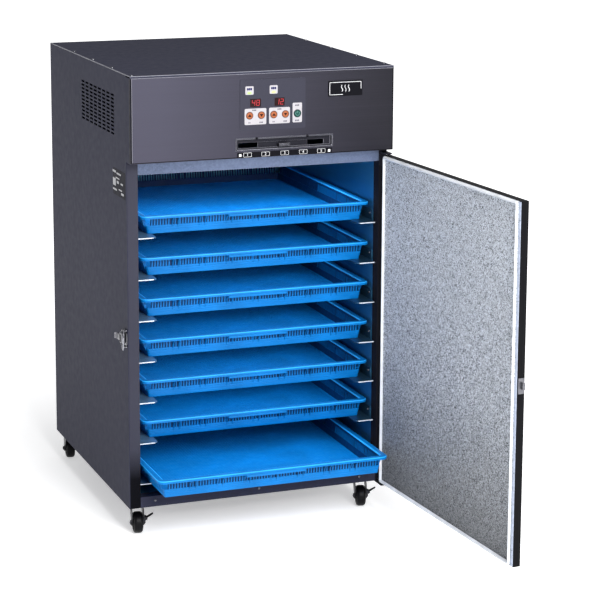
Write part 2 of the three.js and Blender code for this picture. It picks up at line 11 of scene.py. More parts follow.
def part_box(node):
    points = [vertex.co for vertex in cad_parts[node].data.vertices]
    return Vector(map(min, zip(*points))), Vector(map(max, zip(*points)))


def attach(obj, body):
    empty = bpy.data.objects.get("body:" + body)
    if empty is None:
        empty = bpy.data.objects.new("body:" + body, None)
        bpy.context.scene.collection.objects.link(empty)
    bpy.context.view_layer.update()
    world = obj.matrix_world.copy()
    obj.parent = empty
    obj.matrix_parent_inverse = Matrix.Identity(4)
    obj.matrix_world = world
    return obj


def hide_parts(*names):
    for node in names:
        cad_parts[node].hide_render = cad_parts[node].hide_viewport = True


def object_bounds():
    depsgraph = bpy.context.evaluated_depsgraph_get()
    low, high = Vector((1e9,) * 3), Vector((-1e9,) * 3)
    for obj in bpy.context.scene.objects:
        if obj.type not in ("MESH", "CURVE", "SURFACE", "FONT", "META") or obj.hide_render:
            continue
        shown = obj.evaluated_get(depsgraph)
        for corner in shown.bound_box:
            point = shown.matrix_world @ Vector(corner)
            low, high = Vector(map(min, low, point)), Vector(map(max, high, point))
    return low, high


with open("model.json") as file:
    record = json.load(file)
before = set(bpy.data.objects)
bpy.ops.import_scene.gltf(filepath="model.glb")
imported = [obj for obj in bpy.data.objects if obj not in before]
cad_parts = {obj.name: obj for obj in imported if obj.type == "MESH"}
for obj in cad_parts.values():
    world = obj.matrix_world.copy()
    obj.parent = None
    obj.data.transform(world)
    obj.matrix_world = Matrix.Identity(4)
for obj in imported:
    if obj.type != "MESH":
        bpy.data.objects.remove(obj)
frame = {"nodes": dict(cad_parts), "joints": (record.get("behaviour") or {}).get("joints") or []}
cad_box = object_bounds()

MM = 0.001
TRAYS = [f"tray_{level}" for level in range(1, 8)]


# ---- outlines ----------------------------------------------------------------------------------
def around(middle, half):
    return middle - half, middle + half


def circle(u, v, radius, segments=32):
    turns = [2 * math.pi * i / segments for i in range(segments)]
    return [(u + radius * math.cos(turn), v + radius * math.sin(turn)) for turn in turns]


def rounded_rectangle(u0, u1, v0, v1, radius, steps=5):
    left, right, low, high = u0 + radius, u1 - radius, v0 + radius, v1 - radius
    loop = []
    for quarter, (u, v) in enumerate(((right, high), (left, high), (left, low), (right, low))):
        for step in range(steps + 1):
            angle = math.pi / 2 * (quarter + step / steps)
            loop.append((u + radius * math.cos(angle), v + radius * math.sin(angle)))
    return loop


def rounded_path(points, radius, steps=5):
    """Closed path of points whose corners are rounded."""
    path = []
    for i, point in enumerate(points):
        corner = Vector(point)
        before, after = Vector(points[i - 1]), Vector(points[(i + 1) % len(points)])
        a = corner + (before - corner).normalized() * radius
        b = corner + (after - corner).normalized() * radius
        for step in range(steps + 1):
            s = step / steps
            path.append(a * (1 - s) ** 2 + corner * 2 * s * (1 - s) + b * s ** 2)
    return path


def along_axis(axis, u, v, w):
    """Point at w along an axis, with u and v along the other two in order."""
    return {"x": (w, u, v), "y": (u, w, v), "z": (u, v, w)}[axis]


# ---- meshes ------------------------------------------------------------------------------------
BLOCK_FACES = [(0, 1, 3, 2), (4, 6, 7, 5), (0, 4, 5, 1), (2, 3, 7, 6), (0, 2, 6, 4), (1, 5, 7, 3)]


class Shape:
    """A mesh being built in millimetres. Each call adds a closed form with the given material slot."""

    def __init__(self):
        self.bm = bmesh.new()

    def vertices(self, points, matrix=None):
        return [self.bm.verts.new(matrix @ Vector(p) if matrix else Vector(p)) for p in points]

    def skin(self, low, high, slot=0):
        """Wall between two loops of vertices."""
        for a, b, c, d in zip(low, low[1:] + low[:1], high[1:] + high[:1], high):
            self.bm.faces.new((a, b, c, d)).material_index = slot

    def fill(self, loops):
        """Flat face between an outer loop of vertices and the loops inside it."""
        pairs = [pair for loop in loops for pair in zip(loop, loop[1:] + loop[:1])]
        edges = [self.bm.edges.get(pair) for pair in pairs]
        bmesh.ops.triangle_fill(self.bm, use_beauty=True, edges=edges)

    def block(self, points, slot=0, matrix=None):
        """Six-sided form over eight corners, listed by x, then y, then z."""
        verts = self.vertices(points, matrix)
        for indices in BLOCK_FACES:
            self.bm.faces.new([verts[i] for i in indices]).material_index = slot

    def box(self, x, y, z, slot=0, matrix=None):
        """Block between two corners, given as (low, high) along each axis."""
        self.block([(a, b, c) for a in x for b in y for c in z], slot, matrix)

    def loft(self, rings, slot=0, closed=False, matrix=None):
        """Skin over rings of equal point counts; a closed loft joins the last ring to the first."""
        verts = [self.vertices(ring, matrix) for ring in rings]
        for low, high in zip(verts, verts[1:]):
            self.skin(low, high, slot)
        if closed:
            self.skin(verts[-1], verts[0], slot)
        else:
            self.bm.faces.new(list(reversed(verts[0]))).material_index = slot
            self.bm.faces.new(verts[-1]).material_index = slot

    def prism(self, outline, low, high, axis="z", slot=0, matrix=None):
        """Outline of (u, v) points extruded along an axis."""
        rings = [[along_axis(axis, u, v, w) for u, v in outline] for w in (low, high)]
        self.loft(rings, slot, matrix=matrix)

    def lathe(self, profile, centre=(0, 0, 0), axis="z", segments=32, slot=0, matrix=None):
        """Closed (radius, height) profile turned about an axis through the centre."""
        rings = []
        for c, s in circle(0, 0, 1, segments):
            points = [along_axis(axis, r * c, r * s, h) for r, h in profile]
            rings.append([[a + b for a, b in zip(centre, point)] for point in points])
        self.loft(rings, slot, closed=True, matrix=matrix)

    def disc(self, radius, low, high, centre=(0, 0), axis="z", segments=24, chamfer=0.0, matrix=None):
        """Round bar along an axis, with an optional chamfer at the high end."""
        sections = [(radius, low), (radius, high)]
        if chamfer:
            sections = [(radius, low), (radius, high - chamfer), (radius - chamfer, high)]
        rings = [[along_axis(axis, u, v, w) for u, v in circle(*centre, r, segments)] for r, w in sections]
        self.loft(rings, matrix=matrix)

    def tube(self, path, radius, segments=10, closed=False, matrix=None):
        """Round wire along a path of points."""
        points = [Vector(p) for p in path]
        rings = []
        normal = None
        for i, point in enumerate(points):
            before = points[i - 1] if (i or closed) else point
            after = points[(i + 1) % len(points)] if (i + 1 < len(points) or closed) else point
            tangent = (after - before).normalized()
            if normal is None:
                helper = Vector((0, 0, 1)) if abs(tangent.z) < 0.9 else Vector((1, 0, 0))
                normal = tangent.cross(helper).normalized()
            normal = (normal - tangent * normal.dot(tangent)).normalized()
            binormal = tangent.cross(normal)
            spokes = [c * normal + s * binormal for c, s in circle(0, 0, 1, segments)]
            rings.append([point + radius * spoke for spoke in spokes])
        self.loft(rings, closed=closed, matrix=matrix)

    def mesh(self, name, smooth_angle=40):
        bmesh.ops.recalc_face_normals(self.bm, faces=self.bm.faces)
        bmesh.ops.scale(self.bm, vec=(MM, MM, MM), verts=self.bm.verts)
        mesh = bpy.data.meshes.new(name)
        self.bm.to_mesh(mesh)
        self.bm.free()
        for polygon in mesh.polygons:
            polygon.use_smooth = True
        mesh.set_sharp_from_angle(angle=math.radians(smooth_angle))
        return mesh


def round_edges(piece, width, segments=2):
    """Bevels the sharp edges of a piece, with shading that keeps its flats flat."""
    bevel = piece.modifiers.new("edge_round", "BEVEL")
    bevel.width = width * MM
    bevel.segments = segments
    bevel.limit_method = "ANGLE"
    bevel.angle_limit = math.radians(38)
    bevel.harden_normals = False
    weighted = piece.modifiers.new("flat_shading", "WEIGHTED_NORMAL")
    weighted.keep_sharp = True
    return bevel


def add_object(name, data):
    item = bpy.data.objects.new(name, data)
    bpy.context.scene.collection.objects.link(item)
    return item


def place(name, form, materials, body, replaces=(), bevel=0.0, edge_slot=-1, smooth=40, at=None):
    """Puts a shape, or a mesh that several pieces share, in the scene as a piece riding on a body."""
    mesh = form.mesh(name, smooth) if isinstance(form, Shape) else form
    piece = add_object(name, mesh)
    if not mesh.materials:
        for material in materials:
            mesh.materials.append(material)
    if at:
        piece.matrix_world = at
    if bevel:
        round_edges(piece, bevel).material = edge_slot
    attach(piece, body)
    if replaces:
        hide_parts(*replaces)
    return piece


def finish_node(names, material, bevel, segments=2, fold=None):
    """Gives CAD nodes their material and rounds their sheet edges, whose bevels can take a lighter coat as a painted
    highlight.
    """
    for name in names.split():
        node = frame["nodes"][name]
        node.data.materials.clear()
        node.data.materials.append(material)
        if fold:
            node.data.materials.append(fold)
        merge = node.modifiers.new("merge_flats", "DECIMATE")
        merge.decimate_type = "DISSOLVE"
        merge.angle_limit = math.radians(1.0)
        if bevel:
            round_edges(node, bevel, segments).material = 1 if fold else -1


def corner_box(name):
    """Lowest and highest corner of a CAD node in millimetres."""
    low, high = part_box(name)
    return [v / MM for v in low], [v / MM for v in high]


# ---- procedural materials ----------------------------------------------------------------------
# Places of the colour sockets of a mix node, which share their names with its other sockets.
MIX_A, MIX_B, MIX_RESULT = 6, 7, 2


class Look:
    """A principled material with helpers for the few node chains that the finishes share."""

    def __init__(self, name, colour, roughness, metallic=0.0, **sockets):
        self.material = bpy.data.materials.new(name)
        self.material.use_nodes = True
        self.tree = self.material.node_tree
        self.shader = self.tree.nodes["Principled BSDF"]
        self.set(self.shader, "Base Color", (*colour, 1.0))
        self.set(self.shader, "Roughness", roughness)
        self.set(self.shader, "Metallic", metallic)
        for socket, value in sockets.items():
            self.set(self.shader, socket.replace("_", " "), value)
        self.coordinates = self.tree.nodes.new("ShaderNodeTexCoord").outputs["Object"]
        self.colour = colour
        self.normal = None

    @staticmethod
    def set(node, socket, value):
        node.inputs[socket].default_value = value

    def node(self, kind, **settings):
        node = self.tree.nodes.new(kind)
        for key, value in settings.items():
            setattr(node, key, value)
        return node

    def link(self, source, target):
        self.tree.links.new(source, target)

    def scaled(self, scale, offset=(0, 0, 0)):
        mapping = self.node("ShaderNodeMapping")
        self.set(mapping, "Scale", scale)
        self.set(mapping, "Location", offset)
        self.link(self.coordinates, mapping.inputs["Vector"])
        return mapping.outputs["Vector"]

    def noise(self, scale, detail=3.0, stretch=(1, 1, 1), offset=(0, 0, 0), distortion=0.0):
        noise = self.node("ShaderNodeTexNoise")
        self.set(noise, "Scale", scale)
        self.set(noise, "Detail", detail)
        self.set(noise, "Distortion", distortion)
        self.link(self.scaled(stretch, offset), noise.inputs["Vector"])
        return noise.outputs["Fac"]

    def crystals(self, scale):
        """Red and green values that are constant over each cell of a Voronoi pattern."""
        cells = self.node("ShaderNodeTexVoronoi")
        self.set(cells, "Scale", scale)
        self.link(self.scaled((1, 1, 1)), cells.inputs["Vector"])
        split = self.node("ShaderNodeSeparateColor")
        self.link(cells.outputs["Color"], split.inputs["Color"])
        return split.outputs["Red"], split.outputs["Green"]

    def spread(self, value, low, high, from_low=0.3, from_high=0.7):
        """Stretches a noise value to run from low to high."""
        ramp = self.node("ShaderNodeMapRange")
        limits = {"From Min": from_low, "From Max": from_high, "To Min": low, "To Max": high}
        for socket, number in limits.items():
            self.set(ramp, socket, number)
        self.link(value, ramp.inputs["Value"])
        return ramp.outputs["Result"]

    def along(self, axis, start, end, low, high):
        """Runs from low at one place on an axis to high at another, both in metres."""
        split = self.node("ShaderNodeSeparateXYZ")
        self.link(self.coordinates, split.inputs["Vector"])
        return self.spread(split.outputs[axis], low, high, start, end)

    def math(self, operation, a, b):
        node = self.node("ShaderNodeMath", operation=operation)
        for socket, value in zip(node.inputs, (a, b)):
            if isinstance(value, (int, float)):
                socket.default_value = value
            else:
                self.link(value, socket)
        return node.outputs["Value"]

    def tint(self, factor, low, high):
        """Colour that runs from low to high with the factor, times the base colour."""
        mix = self.node("ShaderNodeMix", data_type="RGBA")
        mix.inputs[MIX_A].default_value = (*[c * low for c in self.colour], 1.0)
        mix.inputs[MIX_B].default_value = (*[min(1.0, c * high) for c in self.colour], 1.0)
        self.link(factor, mix.inputs["Factor"])
        return mix.outputs[MIX_RESULT]

    def over(self, factor, below, colour):
        """Lays a plain colour over another where the factor is high."""
        mix = self.node("ShaderNodeMix", data_type="RGBA")
        self.link(factor, mix.inputs["Factor"])
        self.link(below, mix.inputs[MIX_A])
        mix.inputs[MIX_B].default_value = (*colour, 1.0)
        return mix.outputs[MIX_RESULT]

    def paint(self, colour):
        self.link(colour, self.shader.inputs["Base Color"])

    def rough(self, value):
        self.link(value, self.shader.inputs["Roughness"])

    def bump(self, height, strength, distance):
        bump = self.node("ShaderNodeBump")
        self.set(bump, "Strength", strength)
        self.set(bump, "Distance", distance * MM)
        self.link(height, bump.inputs["Height"])
        if self.normal:
            self.link(self.normal, bump.inputs["Normal"])
        self.normal = bump.outputs["Normal"]
        self.link(self.normal, self.shader.inputs["Normal"])


# Places in metres between which painted light changes: painted shade up the post, painted reflection across the
# head, a painted highlight across the chamber's header, painted shade up the door.
POST_PAINTED_SHADE = (0.07, 0.14)
HEAD_PAINTED_REFLECTION = (-0.25, 0.36)
STEEL_PAINTED_HIGHLIGHT = (-0.25, 0.3)
LINER_PAINTED_SHADE = (0.0, 0.8)
CRYSTAL_RANGE = 0.28


def lighter(colour, factor):
    return [min(1, c * factor + 0.02) for c in colour]


def powder_coat(name, colour, roughness=0.42, specular=0.015, metallic=0.0, painted_shade_foot=False):
    """Satin powder coat: orange-peel ripple, fine grain, faint rub marks and a slightly cloudy tone; a post's foot
    can take painted shade that blackens it.
    """
    look = Look(name, colour, roughness, metallic, Specular_IOR_Level=specular)
    tone = look.tint(look.spread(look.noise(3.0, 3.0), 0.0, 1.0), 0.97, 1.03)
    grain = look.spread(look.noise(700.0, 2.0), 0.0, 0.02)
    rub = look.spread(look.noise(26.0, 6.0, distortion=0.6), 0.0, 0.008, 0.64, 0.8)
    coat = look.over(look.math("ADD", rub, grain), tone, lighter(colour, 2.2))
    # Painted shade: blackens the coat towards the post's foot.
    if painted_shade_foot:
        coat = look.over(look.along("Z", *POST_PAINTED_SHADE, 0.9, 0.0), coat, (0.0, 0.0, 0.0))
    look.paint(coat)
    look.rough(look.spread(look.noise(60.0, 5.0), roughness - 0.04, roughness + 0.05))
    look.bump(look.noise(420.0, 2.0), 0.015, 0.03)
    return look.material


def brushed_coat(name, colour, roughness, metallic, along, bump=0.1, contrast=0.12):
    """Metal with hairlines that run along one axis."""
    look = Look(name, colour, roughness, metallic)
    stretch = {"x": (3, 900, 900), "y": (900, 3, 900), "z": (900, 900, 3)}[along]
    wide = {"x": (1.2, 160, 160), "y": (160, 1.2, 160), "z": (160, 160, 1.2)}[along]
    hair = look.noise(1.0, 3.0, stretch=stretch)
    band = look.noise(1.0, 3.0, stretch=wide)
    both = look.math("ADD", look.math("MULTIPLY", hair, 0.6), look.math("MULTIPLY", band, 0.4))
    look.paint(look.tint(look.spread(both, 0.0, 1.0, 0.35, 0.65), 1 - contrast, 1 + contrast))
    look.rough(look.spread(hair, roughness - 0.07, roughness + 0.09))
    look.bump(hair, bump, 0.04)
    look.bump(look.noise(3.5, 2.0), 0.05, 1.2)
    return look.material


def head_coat(name, colour, roughness, metallic):
    """Satin violet-grey coat with horizontal hairlines, darker towards the right of the head: a painted reflection
    of the studio light.
    """
    look = Look(name, colour, roughness, metallic, Specular_IOR_Level=0.2)
    hair = look.noise(1.0, 3.0, stretch=(3, 900, 900))
    band = look.noise(1.0, 2.0, stretch=(1.2, 120, 120))
    both = look.math("ADD", look.math("MULTIPLY", hair, 0.6), look.math("MULTIPLY", band, 0.4))
    # Painted reflection: the coat's tone falls from the left of the head to the right.
    depth = look.along("X", *HEAD_PAINTED_REFLECTION, 1.0, 0.0)
    fine = look.spread(both, -0.06, 0.06, 0.35, 0.65)
    look.paint(look.tint(look.math("ADD", depth, fine), 0.18, 1.0))
    look.rough(look.spread(hair, roughness - 0.06, roughness + 0.08))
    look.bump(hair, 0.08, 0.04)
    return look.material


def galvanised(name, colour, roughness, spangle, metallic=0.9, rise=0.0):
    """Zinc-dipped sheet: crystal spangle in tone and gloss, with a painted highlight that lifts the tone towards the
    right.
    """
    look = Look(name, colour, roughness, metallic)
    tone, gloss = look.crystals(spangle)
    span = CRYSTAL_RANGE + rise
    crystal = look.math("MULTIPLY", tone, CRYSTAL_RANGE / span)
    # Painted highlight: the tone rises towards the right by the rise given.
    painted_highlight = look.along("X", *STEEL_PAINTED_HIGHLIGHT, 0.0, rise / span)
    look.paint(look.tint(look.math("ADD", crystal, painted_highlight), 0.84, 0.84 + span))
    look.rough(look.spread(gloss, roughness - 0.08, roughness + 0.1, 0.0, 1.0))
    look.bump(look.noise(240.0, 3.0), 0.06, 0.05)
    return look.material


def stucco_sheet(name):
    """Door liner: bright sheet embossed all over with short worm-like ridges, darkened towards the bottom by painted
    shade.
    """
    look = Look(name, (0.64, 0.67, 0.715), 0.5, 0.15, Specular_IOR_Level=0.25)
    warp = look.noise(120.0, 2.0, distortion=1.4)
    ridges = look.noise(250.0, 2.5, distortion=2.2, offset=(3, 1, 2))
    height = look.spread(ridges, 0.0, 1.0, 0.4, 0.6)
    speckle = look.math("ADD", look.math("MULTIPLY", height, 0.75), look.math("MULTIPLY", warp, 0.25))
    # Painted shade: the liner darkens strongly towards the bottom of the door.
    shade = look.along("Z", *LINER_PAINTED_SHADE, 0.12, 1.14)
    tone = look.math("MULTIPLY", look.spread(speckle, 0.08, 1.85, 0.25, 0.7), shade)
    look.paint(look.tint(tone, 0.0, 1.0))
    look.rough(look.spread(warp, 0.3, 0.48))
    look.bump(height, 0.75, 0.5)
    return look.material


def tray_plastic(name, colour):
    """Injection-moulded blue polypropylene with flow tone, scuffs and a fine spark-eroded grain."""
    look = Look(name, colour, 0.4, 0.0, Specular_IOR_Level=0.16)
    flow = look.noise(9.0, 5.0, distortion=0.8)
    tone = look.tint(look.spread(flow, 0.0, 1.0), 0.86, 1.16)
    scuff = look.spread(look.noise(40.0, 8.0, stretch=(1, 0.3, 1), distortion=1.5), 0.0, 1.0, 0.66, 0.78)
    look.paint(look.over(look.math("MULTIPLY", scuff, 0.1), tone, lighter(colour, 1.5)))
    look.rough(look.spread(look.noise(70.0, 5.0), 0.36, 0.54))
    look.bump(look.noise(420.0, 2.0), 0.14, 0.06)
    return look.material


def plain_plastic(name, colour, roughness=0.5, dust=0.1, grain=0.2, **sockets):
    """Moulded plastic or rubber: fine spark-eroded grain and light dust."""
    look = Look(name, colour, roughness, 0.0, **sockets)
    cloud = look.noise(30.0, 5.0)
    tone = look.tint(look.spread(cloud, 0.0, 1.0), 0.88, 1.12)
    specks = look.spread(look.noise(180.0, 6.0), 0.0, dust, 0.5, 0.75)
    look.paint(look.over(specks, tone, (0.45, 0.43, 0.4)))
    look.rough(look.spread(cloud, roughness - 0.06, roughness + 0.08))
    look.bump(look.noise(1400.0, 2.0), grain, 0.04)
    return look.material


def zinc_plate(name, colour, roughness):
    """Bright zinc plating with cloudy passivation and fine scratches."""
    look = Look(name, colour, roughness, 1.0)
    cloud = look.noise(60.0, 4.0)
    look.paint(look.tint(look.spread(cloud, 0.0, 1.0), 0.82, 1.1))
    look.rough(look.spread(look.noise(160.0, 6.0), roughness - 0.08, roughness + 0.14))
    look.bump(look.noise(500.0, 3.0, stretch=(1, 1, 0.2)), 0.1, 0.03)
    return look.material


def printed(name, colour, roughness=0.42, specular=0.4):
    """Ink on polyester film: near-flat colour with a fine screen texture."""
    look = Look(name, colour, roughness, 0.0, Specular_IOR_Level=specular)
    look.paint(look.tint(look.spread(look.noise(700.0, 2.0), 0.0, 1.0), 0.94, 1.05))
    look.rough(look.spread(look.noise(90.0, 4.0), roughness - 0.06, roughness + 0.08))
    look.bump(look.noise(1800.0, 2.0), 0.12, 0.02)
    return look.material


def smoked_window(name, colour):
    """Dark display lens with faint marks in its gloss."""
    look = Look(name, colour, 0.12, Specular_IOR_Level=0.2)
    look.rough(look.spread(look.noise(300.0), 0.08, 0.2))
    return look.material


def glowing(name, colour, strength):
    """Lit lamp or display bar with a slightly uneven glow."""
    look = Look(name, [c * 0.6 for c in colour], 0.4)
    look.set(look.shader, "Emission Color", (*colour, 1.0))
    glow = look.spread(look.noise(900.0, 1.0), strength * 0.85, strength * 1.15)
    look.link(glow, look.shader.inputs["Emission Strength"])
    return look.material


body_paint = powder_coat("body_coat", (0.0285, 0.0295, 0.048))
# The left post's coat is blackened towards its foot by painted shade.
post_paint = powder_coat("post_coat", (0.036, 0.0365, 0.051), painted_shade_foot=True)
# Darker copy of the post coat for the right post: painted shade cast by the open door.
shaded_post_paint = powder_coat("post_coat_painted_shade", (0.011, 0.011, 0.015))
# Lighter coat on the body's bevelled folds: painted highlight along the sheet edges.
body_fold_highlight = powder_coat("body_coat_fold_highlight", (0.34, 0.34, 0.42), 0.3, 0.3)
# Light coat for the rolled edges: painted highlight.
bead_highlight_coat = powder_coat("bead_highlight_coat", (0.17, 0.17, 0.2), 0.3, 0.3)
head_paint = head_coat("head_coat", (0.042, 0.0405, 0.06), 0.42, 0.35)
# Painted highlight on the head's bevelled folds.
head_fold_highlight = powder_coat("head_coat_fold_highlight", (0.12, 0.115, 0.16), 0.3, 0.3)
door_paint = powder_coat("door_coat", (0.006, 0.006, 0.007), 0.36, 0.03)
# Painted highlight on the door's bevelled folds.
door_fold_highlight = powder_coat("door_coat_fold_highlight", (0.02, 0.02, 0.026), 0.3, 0.1)
# Chamber steel tinted blue, along and across the grain: the blue is a painted reflection of the trays.
blue_painted_stainless = brushed_coat("chamber_stainless", (0.14, 0.42, 0.54), 0.42, 1.0, "y", 0.02, 0.03)
stainless_across = brushed_coat("chamber_stainless_across", (0.14, 0.42, 0.54), 0.42, 1.0, "x", 0.02, 0.03)
# Dark blue rail steel for the legs and the right rack: painted shade and painted reflection of the blue chamber.
painted_shade_rail_metal = brushed_coat("painted_shade_rail_metal", (0.04, 0.12, 0.2), 0.4, 0.8, "y", 0.06, 0.06)
damper_steel = brushed_coat("damper_steel", (0.016, 0.016, 0.021), 0.3, 0.6, "x", 0.12)
# Light steel on the damper's bevelled edges: painted highlight.
damper_edge_highlight = brushed_coat("damper_edge_highlight", (0.26, 0.26, 0.3), 0.3, 0.4, "x", 0.12)
# Blue tint of the rail steel: painted reflection of the chamber and trays.
rail_steel_painted_reflection = galvanised("rail_steel_painted_reflection", (0.1, 0.2, 0.32), 0.36, 90.0, 0.45)
fan_steel = galvanised("fan_steel", (0.5, 0.54, 0.6), 0.36, 90.0)
# Light copy of the rail steel for the shelves' front lips: painted highlight.
rail_lip_highlight = galvanised("rail_lip_steel", (0.6, 0.64, 0.7), 0.4, 200.0, 0.1)
lip_steel = galvanised("door_lip_steel", (0.36, 0.41, 0.52), 0.4, 200.0, 0.1)
# The header's rise is a painted highlight towards its right end.
header_steel = galvanised("header_steel", (0.07, 0.088, 0.138), 0.4, 260.0, rise=1.1)
liner_sheet = stucco_sheet("door_liner_stucco")
zinc = zinc_plate("zinc_plating", (0.42, 0.43, 0.45), 0.26)
latch_zinc = zinc_plate("latch_zinc", (0.15, 0.15, 0.165), 0.3)
# Bright zinc: painted highlight on the bevelled edges of the latch and hinge brackets, and the plain zinc of the
# wire loop.
latch_bright_zinc_and_highlight = zinc_plate("latch_bright_zinc_and_highlight", (0.34, 0.34, 0.37), 0.25)
caster_zinc = zinc_plate("caster_zinc", (0.035, 0.035, 0.04), 0.34)
screw_zinc = zinc_plate("screw_zinc", (0.16, 0.16, 0.18), 0.28)
gasket_silicone = plain_plastic("gasket_silicone", (0.62, 0.64, 0.67), 0.6, 0.04, 0.15)
tray_blue = tray_plastic("tray_polypropylene", (0.0004, 0.138, 0.425))
# Dark tray plastic: painted shade in the front slots and on the inner walls.
tray_painted_shade = tray_plastic("tray_slot_painted_shade", (0.0005, 0.024, 0.095))
# Light tray plastic on the rim's top edge: painted highlight.
tray_rim_highlight = tray_plastic("tray_rim_highlight", (0.02, 0.34, 0.85))
wheel_black = plain_plastic("wheel_nylon", (0.002, 0.002, 0.003), 0.42, 0.004, Specular_IOR_Level=0.12)
pedal_black = plain_plastic("pedal_nylon", (0.004, 0.004, 0.005), 0.5, 0.004, Specular_IOR_Level=0.12)
inlet_black = plain_plastic("inlet_nylon", (0.018, 0.018, 0.02), 0.45, 0.06)
brass = zinc_plate("contact_brass", (0.72, 0.55, 0.26), 0.25)
recess_black = powder_coat("recess_coat", (0.012, 0.012, 0.018), 0.4, 0.1)
film = printed("overlay_film", (0.031, 0.031, 0.045), 0.35, 0.1)
white_ink = printed("white_ink", (0.62, 0.62, 0.64), 0.4)
key_plate_ink = printed("key_plate_ink", (0.37, 0.355, 0.375), 0.4, 0.2)
caption_ink = printed("caption_ink", (0.03, 0.03, 0.05), 0.4, 0.05)
black_ink = printed("black_ink", (0.004, 0.004, 0.006), 0.4, 0.05)
red_ink = printed("dark_red_ink", (0.02, 0.003, 0.003), 0.4, 0.1)
blue_ink = printed("blue_ink", (0.008, 0.01, 0.07), 0.4, 0.1)
orange_key = printed("orange_key", (0.29, 0.085, 0.03), 0.32, 0.2)
orange_ring = printed("orange_key_ring", (0.12, 0.035, 0.016), 0.32, 0.2)
green_key = printed("green_key", (0.003, 0.052, 0.04), 0.32, 0.2)
green_ring = printed("green_key_ring", (0.002, 0.02, 0.02), 0.32, 0.2)
power_ink = printed("power_symbol_ink", (0.12, 0.24, 0.22), 0.4, 0.2)
window_red = smoked_window("display_window", (0.012, 0.0012, 0.0016))
led_red = glowing("led_segments", (0.5, 0.012, 0.025), 0.75)
led_green = glowing("lamp_green", (0.36, 0.6, 0.16), 0.6)
led_amber = glowing("lamp_amber", (0.62, 0.6, 0.2), 0.6)
blank_label = printed("blank_label", (0.2, 0.2, 0.21), 0.35)
label_dark = printed("label_dark", (0.02, 0.02, 0.027), 0.5, 0.02)
label_line = printed("label_line", (0.36, 0.36, 0.38), 0.35, 0.1)
motor_enamel = powder_coat("motor_enamel", (0.03, 0.032, 0.036), 0.5, 0.2, 0.2)
heater_sheath = zinc_plate("heater_sheath", (0.34, 0.3, 0.27), 0.4)
board_green = printed("circuit_board", (0.015, 0.11, 0.04), 0.35)

# ---- carried-over sheet metal ------------------------------------------------------------------
def coat_head_ends():
    """The folded ends of the head's front take the body's coat."""
    head = frame["nodes"]["head_front_panel"].data
    head.materials.append(body_paint)
    for polygon in head.polygons:
        if abs(polygon.normal.x) > 0.9:
            polygon.material_index = len(head.materials) - 1


finish_node("left_side_panel right_side_panel", body_paint, 0.9, fold=body_fold_highlight)
finish_node("back_cover top_cover floor_pan", body_paint, 0.9, fold=body_fold_highlight)
finish_node("left_post", post_paint, 0.5)
finish_node("right_post", shaded_post_paint, 0.5)
finish_node("front_sill", body_paint, 0.5)
finish_node("head_front_panel", head_paint, 0.9, 3, head_fold_highlight)
coat_head_ends()
finish_node("opening_header", header_steel, 0.6)
finish_node("chamber_floor left_chamber_wall right_chamber_wall", blue_painted_stainless, 0.3)
finish_node("chamber_ceiling air_baffle", stainless_across, 0.3)
finish_node("upper_hinge_bracket lower_hinge_bracket", recess_black, 0.4, fold=latch_bright_zinc_and_highlight)
finish_node("fan_housing", fan_steel, 0.4)
finish_node("fan_wheel", fan_steel, 0.0)
finish_node("fan_motor", motor_enamel, 0.0)
finish_node("temperature_probe", zinc, 0.0)
finish_node("control_board", board_green, 0.0)
finish_node("heater", heater_sheath, 0.0)
finish_node("latch_base door_strike", latch_zinc, 0.3)
finish_node("door_skin", door_paint, 0.9, 3, door_fold_highlight)
finish_node("door_liner", liner_sheet, 0.6)
finish_node("power_inlet", inlet_black, 0.4)


# ---- screws ------------------------------------------------------------------------------------
def screw_mesh(radius, height, name):
    """Domed pan head with a cross recess. Local +Z points out of the surface, z = 0 on it."""
    wing, slit, depth = radius * 0.52, radius * 0.13, height * 0.45
    rim = circle(0, 0, radius, 24)
    cross = [(wing, -slit), (wing, slit), (slit, slit), (slit, wing), (-slit, wing), (-slit, slit),
             (-wing, slit), (-wing, -slit), (-slit, -slit), (-slit, -wing), (slit, -wing), (slit, -slit)]
    shape = Shape()
    dome = [(1.0, -0.4), (1.0, height * 0.35), (0.93, height * 0.68), (0.78, height * 0.93)]
    levels = [shape.vertices([(x * scale, y * scale, z) for x, y in rim]) for scale, z in dome]
    for low, high in zip(levels, levels[1:]):
        shape.skin(low, high)
    shape.bm.faces.new(list(reversed(levels[0])))
    mouth = shape.vertices([(x, y, height) for x, y in cross])
    bottom = shape.vertices([(x * 0.7, y * 0.7, height - depth) for x, y in cross])
    shape.skin(mouth, bottom)
    shape.bm.faces.new(bottom)
    shape.fill([levels[-1], mouth])
    return shape.mesh(name, 50)


SCREW = screw_mesh(4.2, 2.4, "pan_head_screw")
SMALL_SCREW = screw_mesh(2.9, 1.8, "small_screw")
DARK_SCREW = screw_mesh(2.9, 1.8, "dark_screw")
FACING = {
    "+x": Matrix.Rotation(math.radians(90), 4, "Y"),
    "-x": Matrix.Rotation(math.radians(-90), 4, "Y"),
    "+y": Matrix.Rotation(math.radians(-90), 4, "X"),
    "-y": Matrix.Rotation(math.radians(90), 4, "X"),
    "+z": Matrix.Identity(4),
}


def drive_screws(group, spots, facing, mesh=SCREW, material=screw_zinc):
    """Screws in the cabinet at a list of places in millimetres, each turned a little differently."""
    turn = random.Random(group)
    for index, spot in enumerate(spots):
        spin = Matrix.Rotation(turn.uniform(0, math.pi), 4, "Z")
        at = Matrix.Translation(Vector(spot) * MM) @ FACING[facing] @ spin
        place(f"{group}_{index + 1}", mesh, [material], "cabinet", at=at)


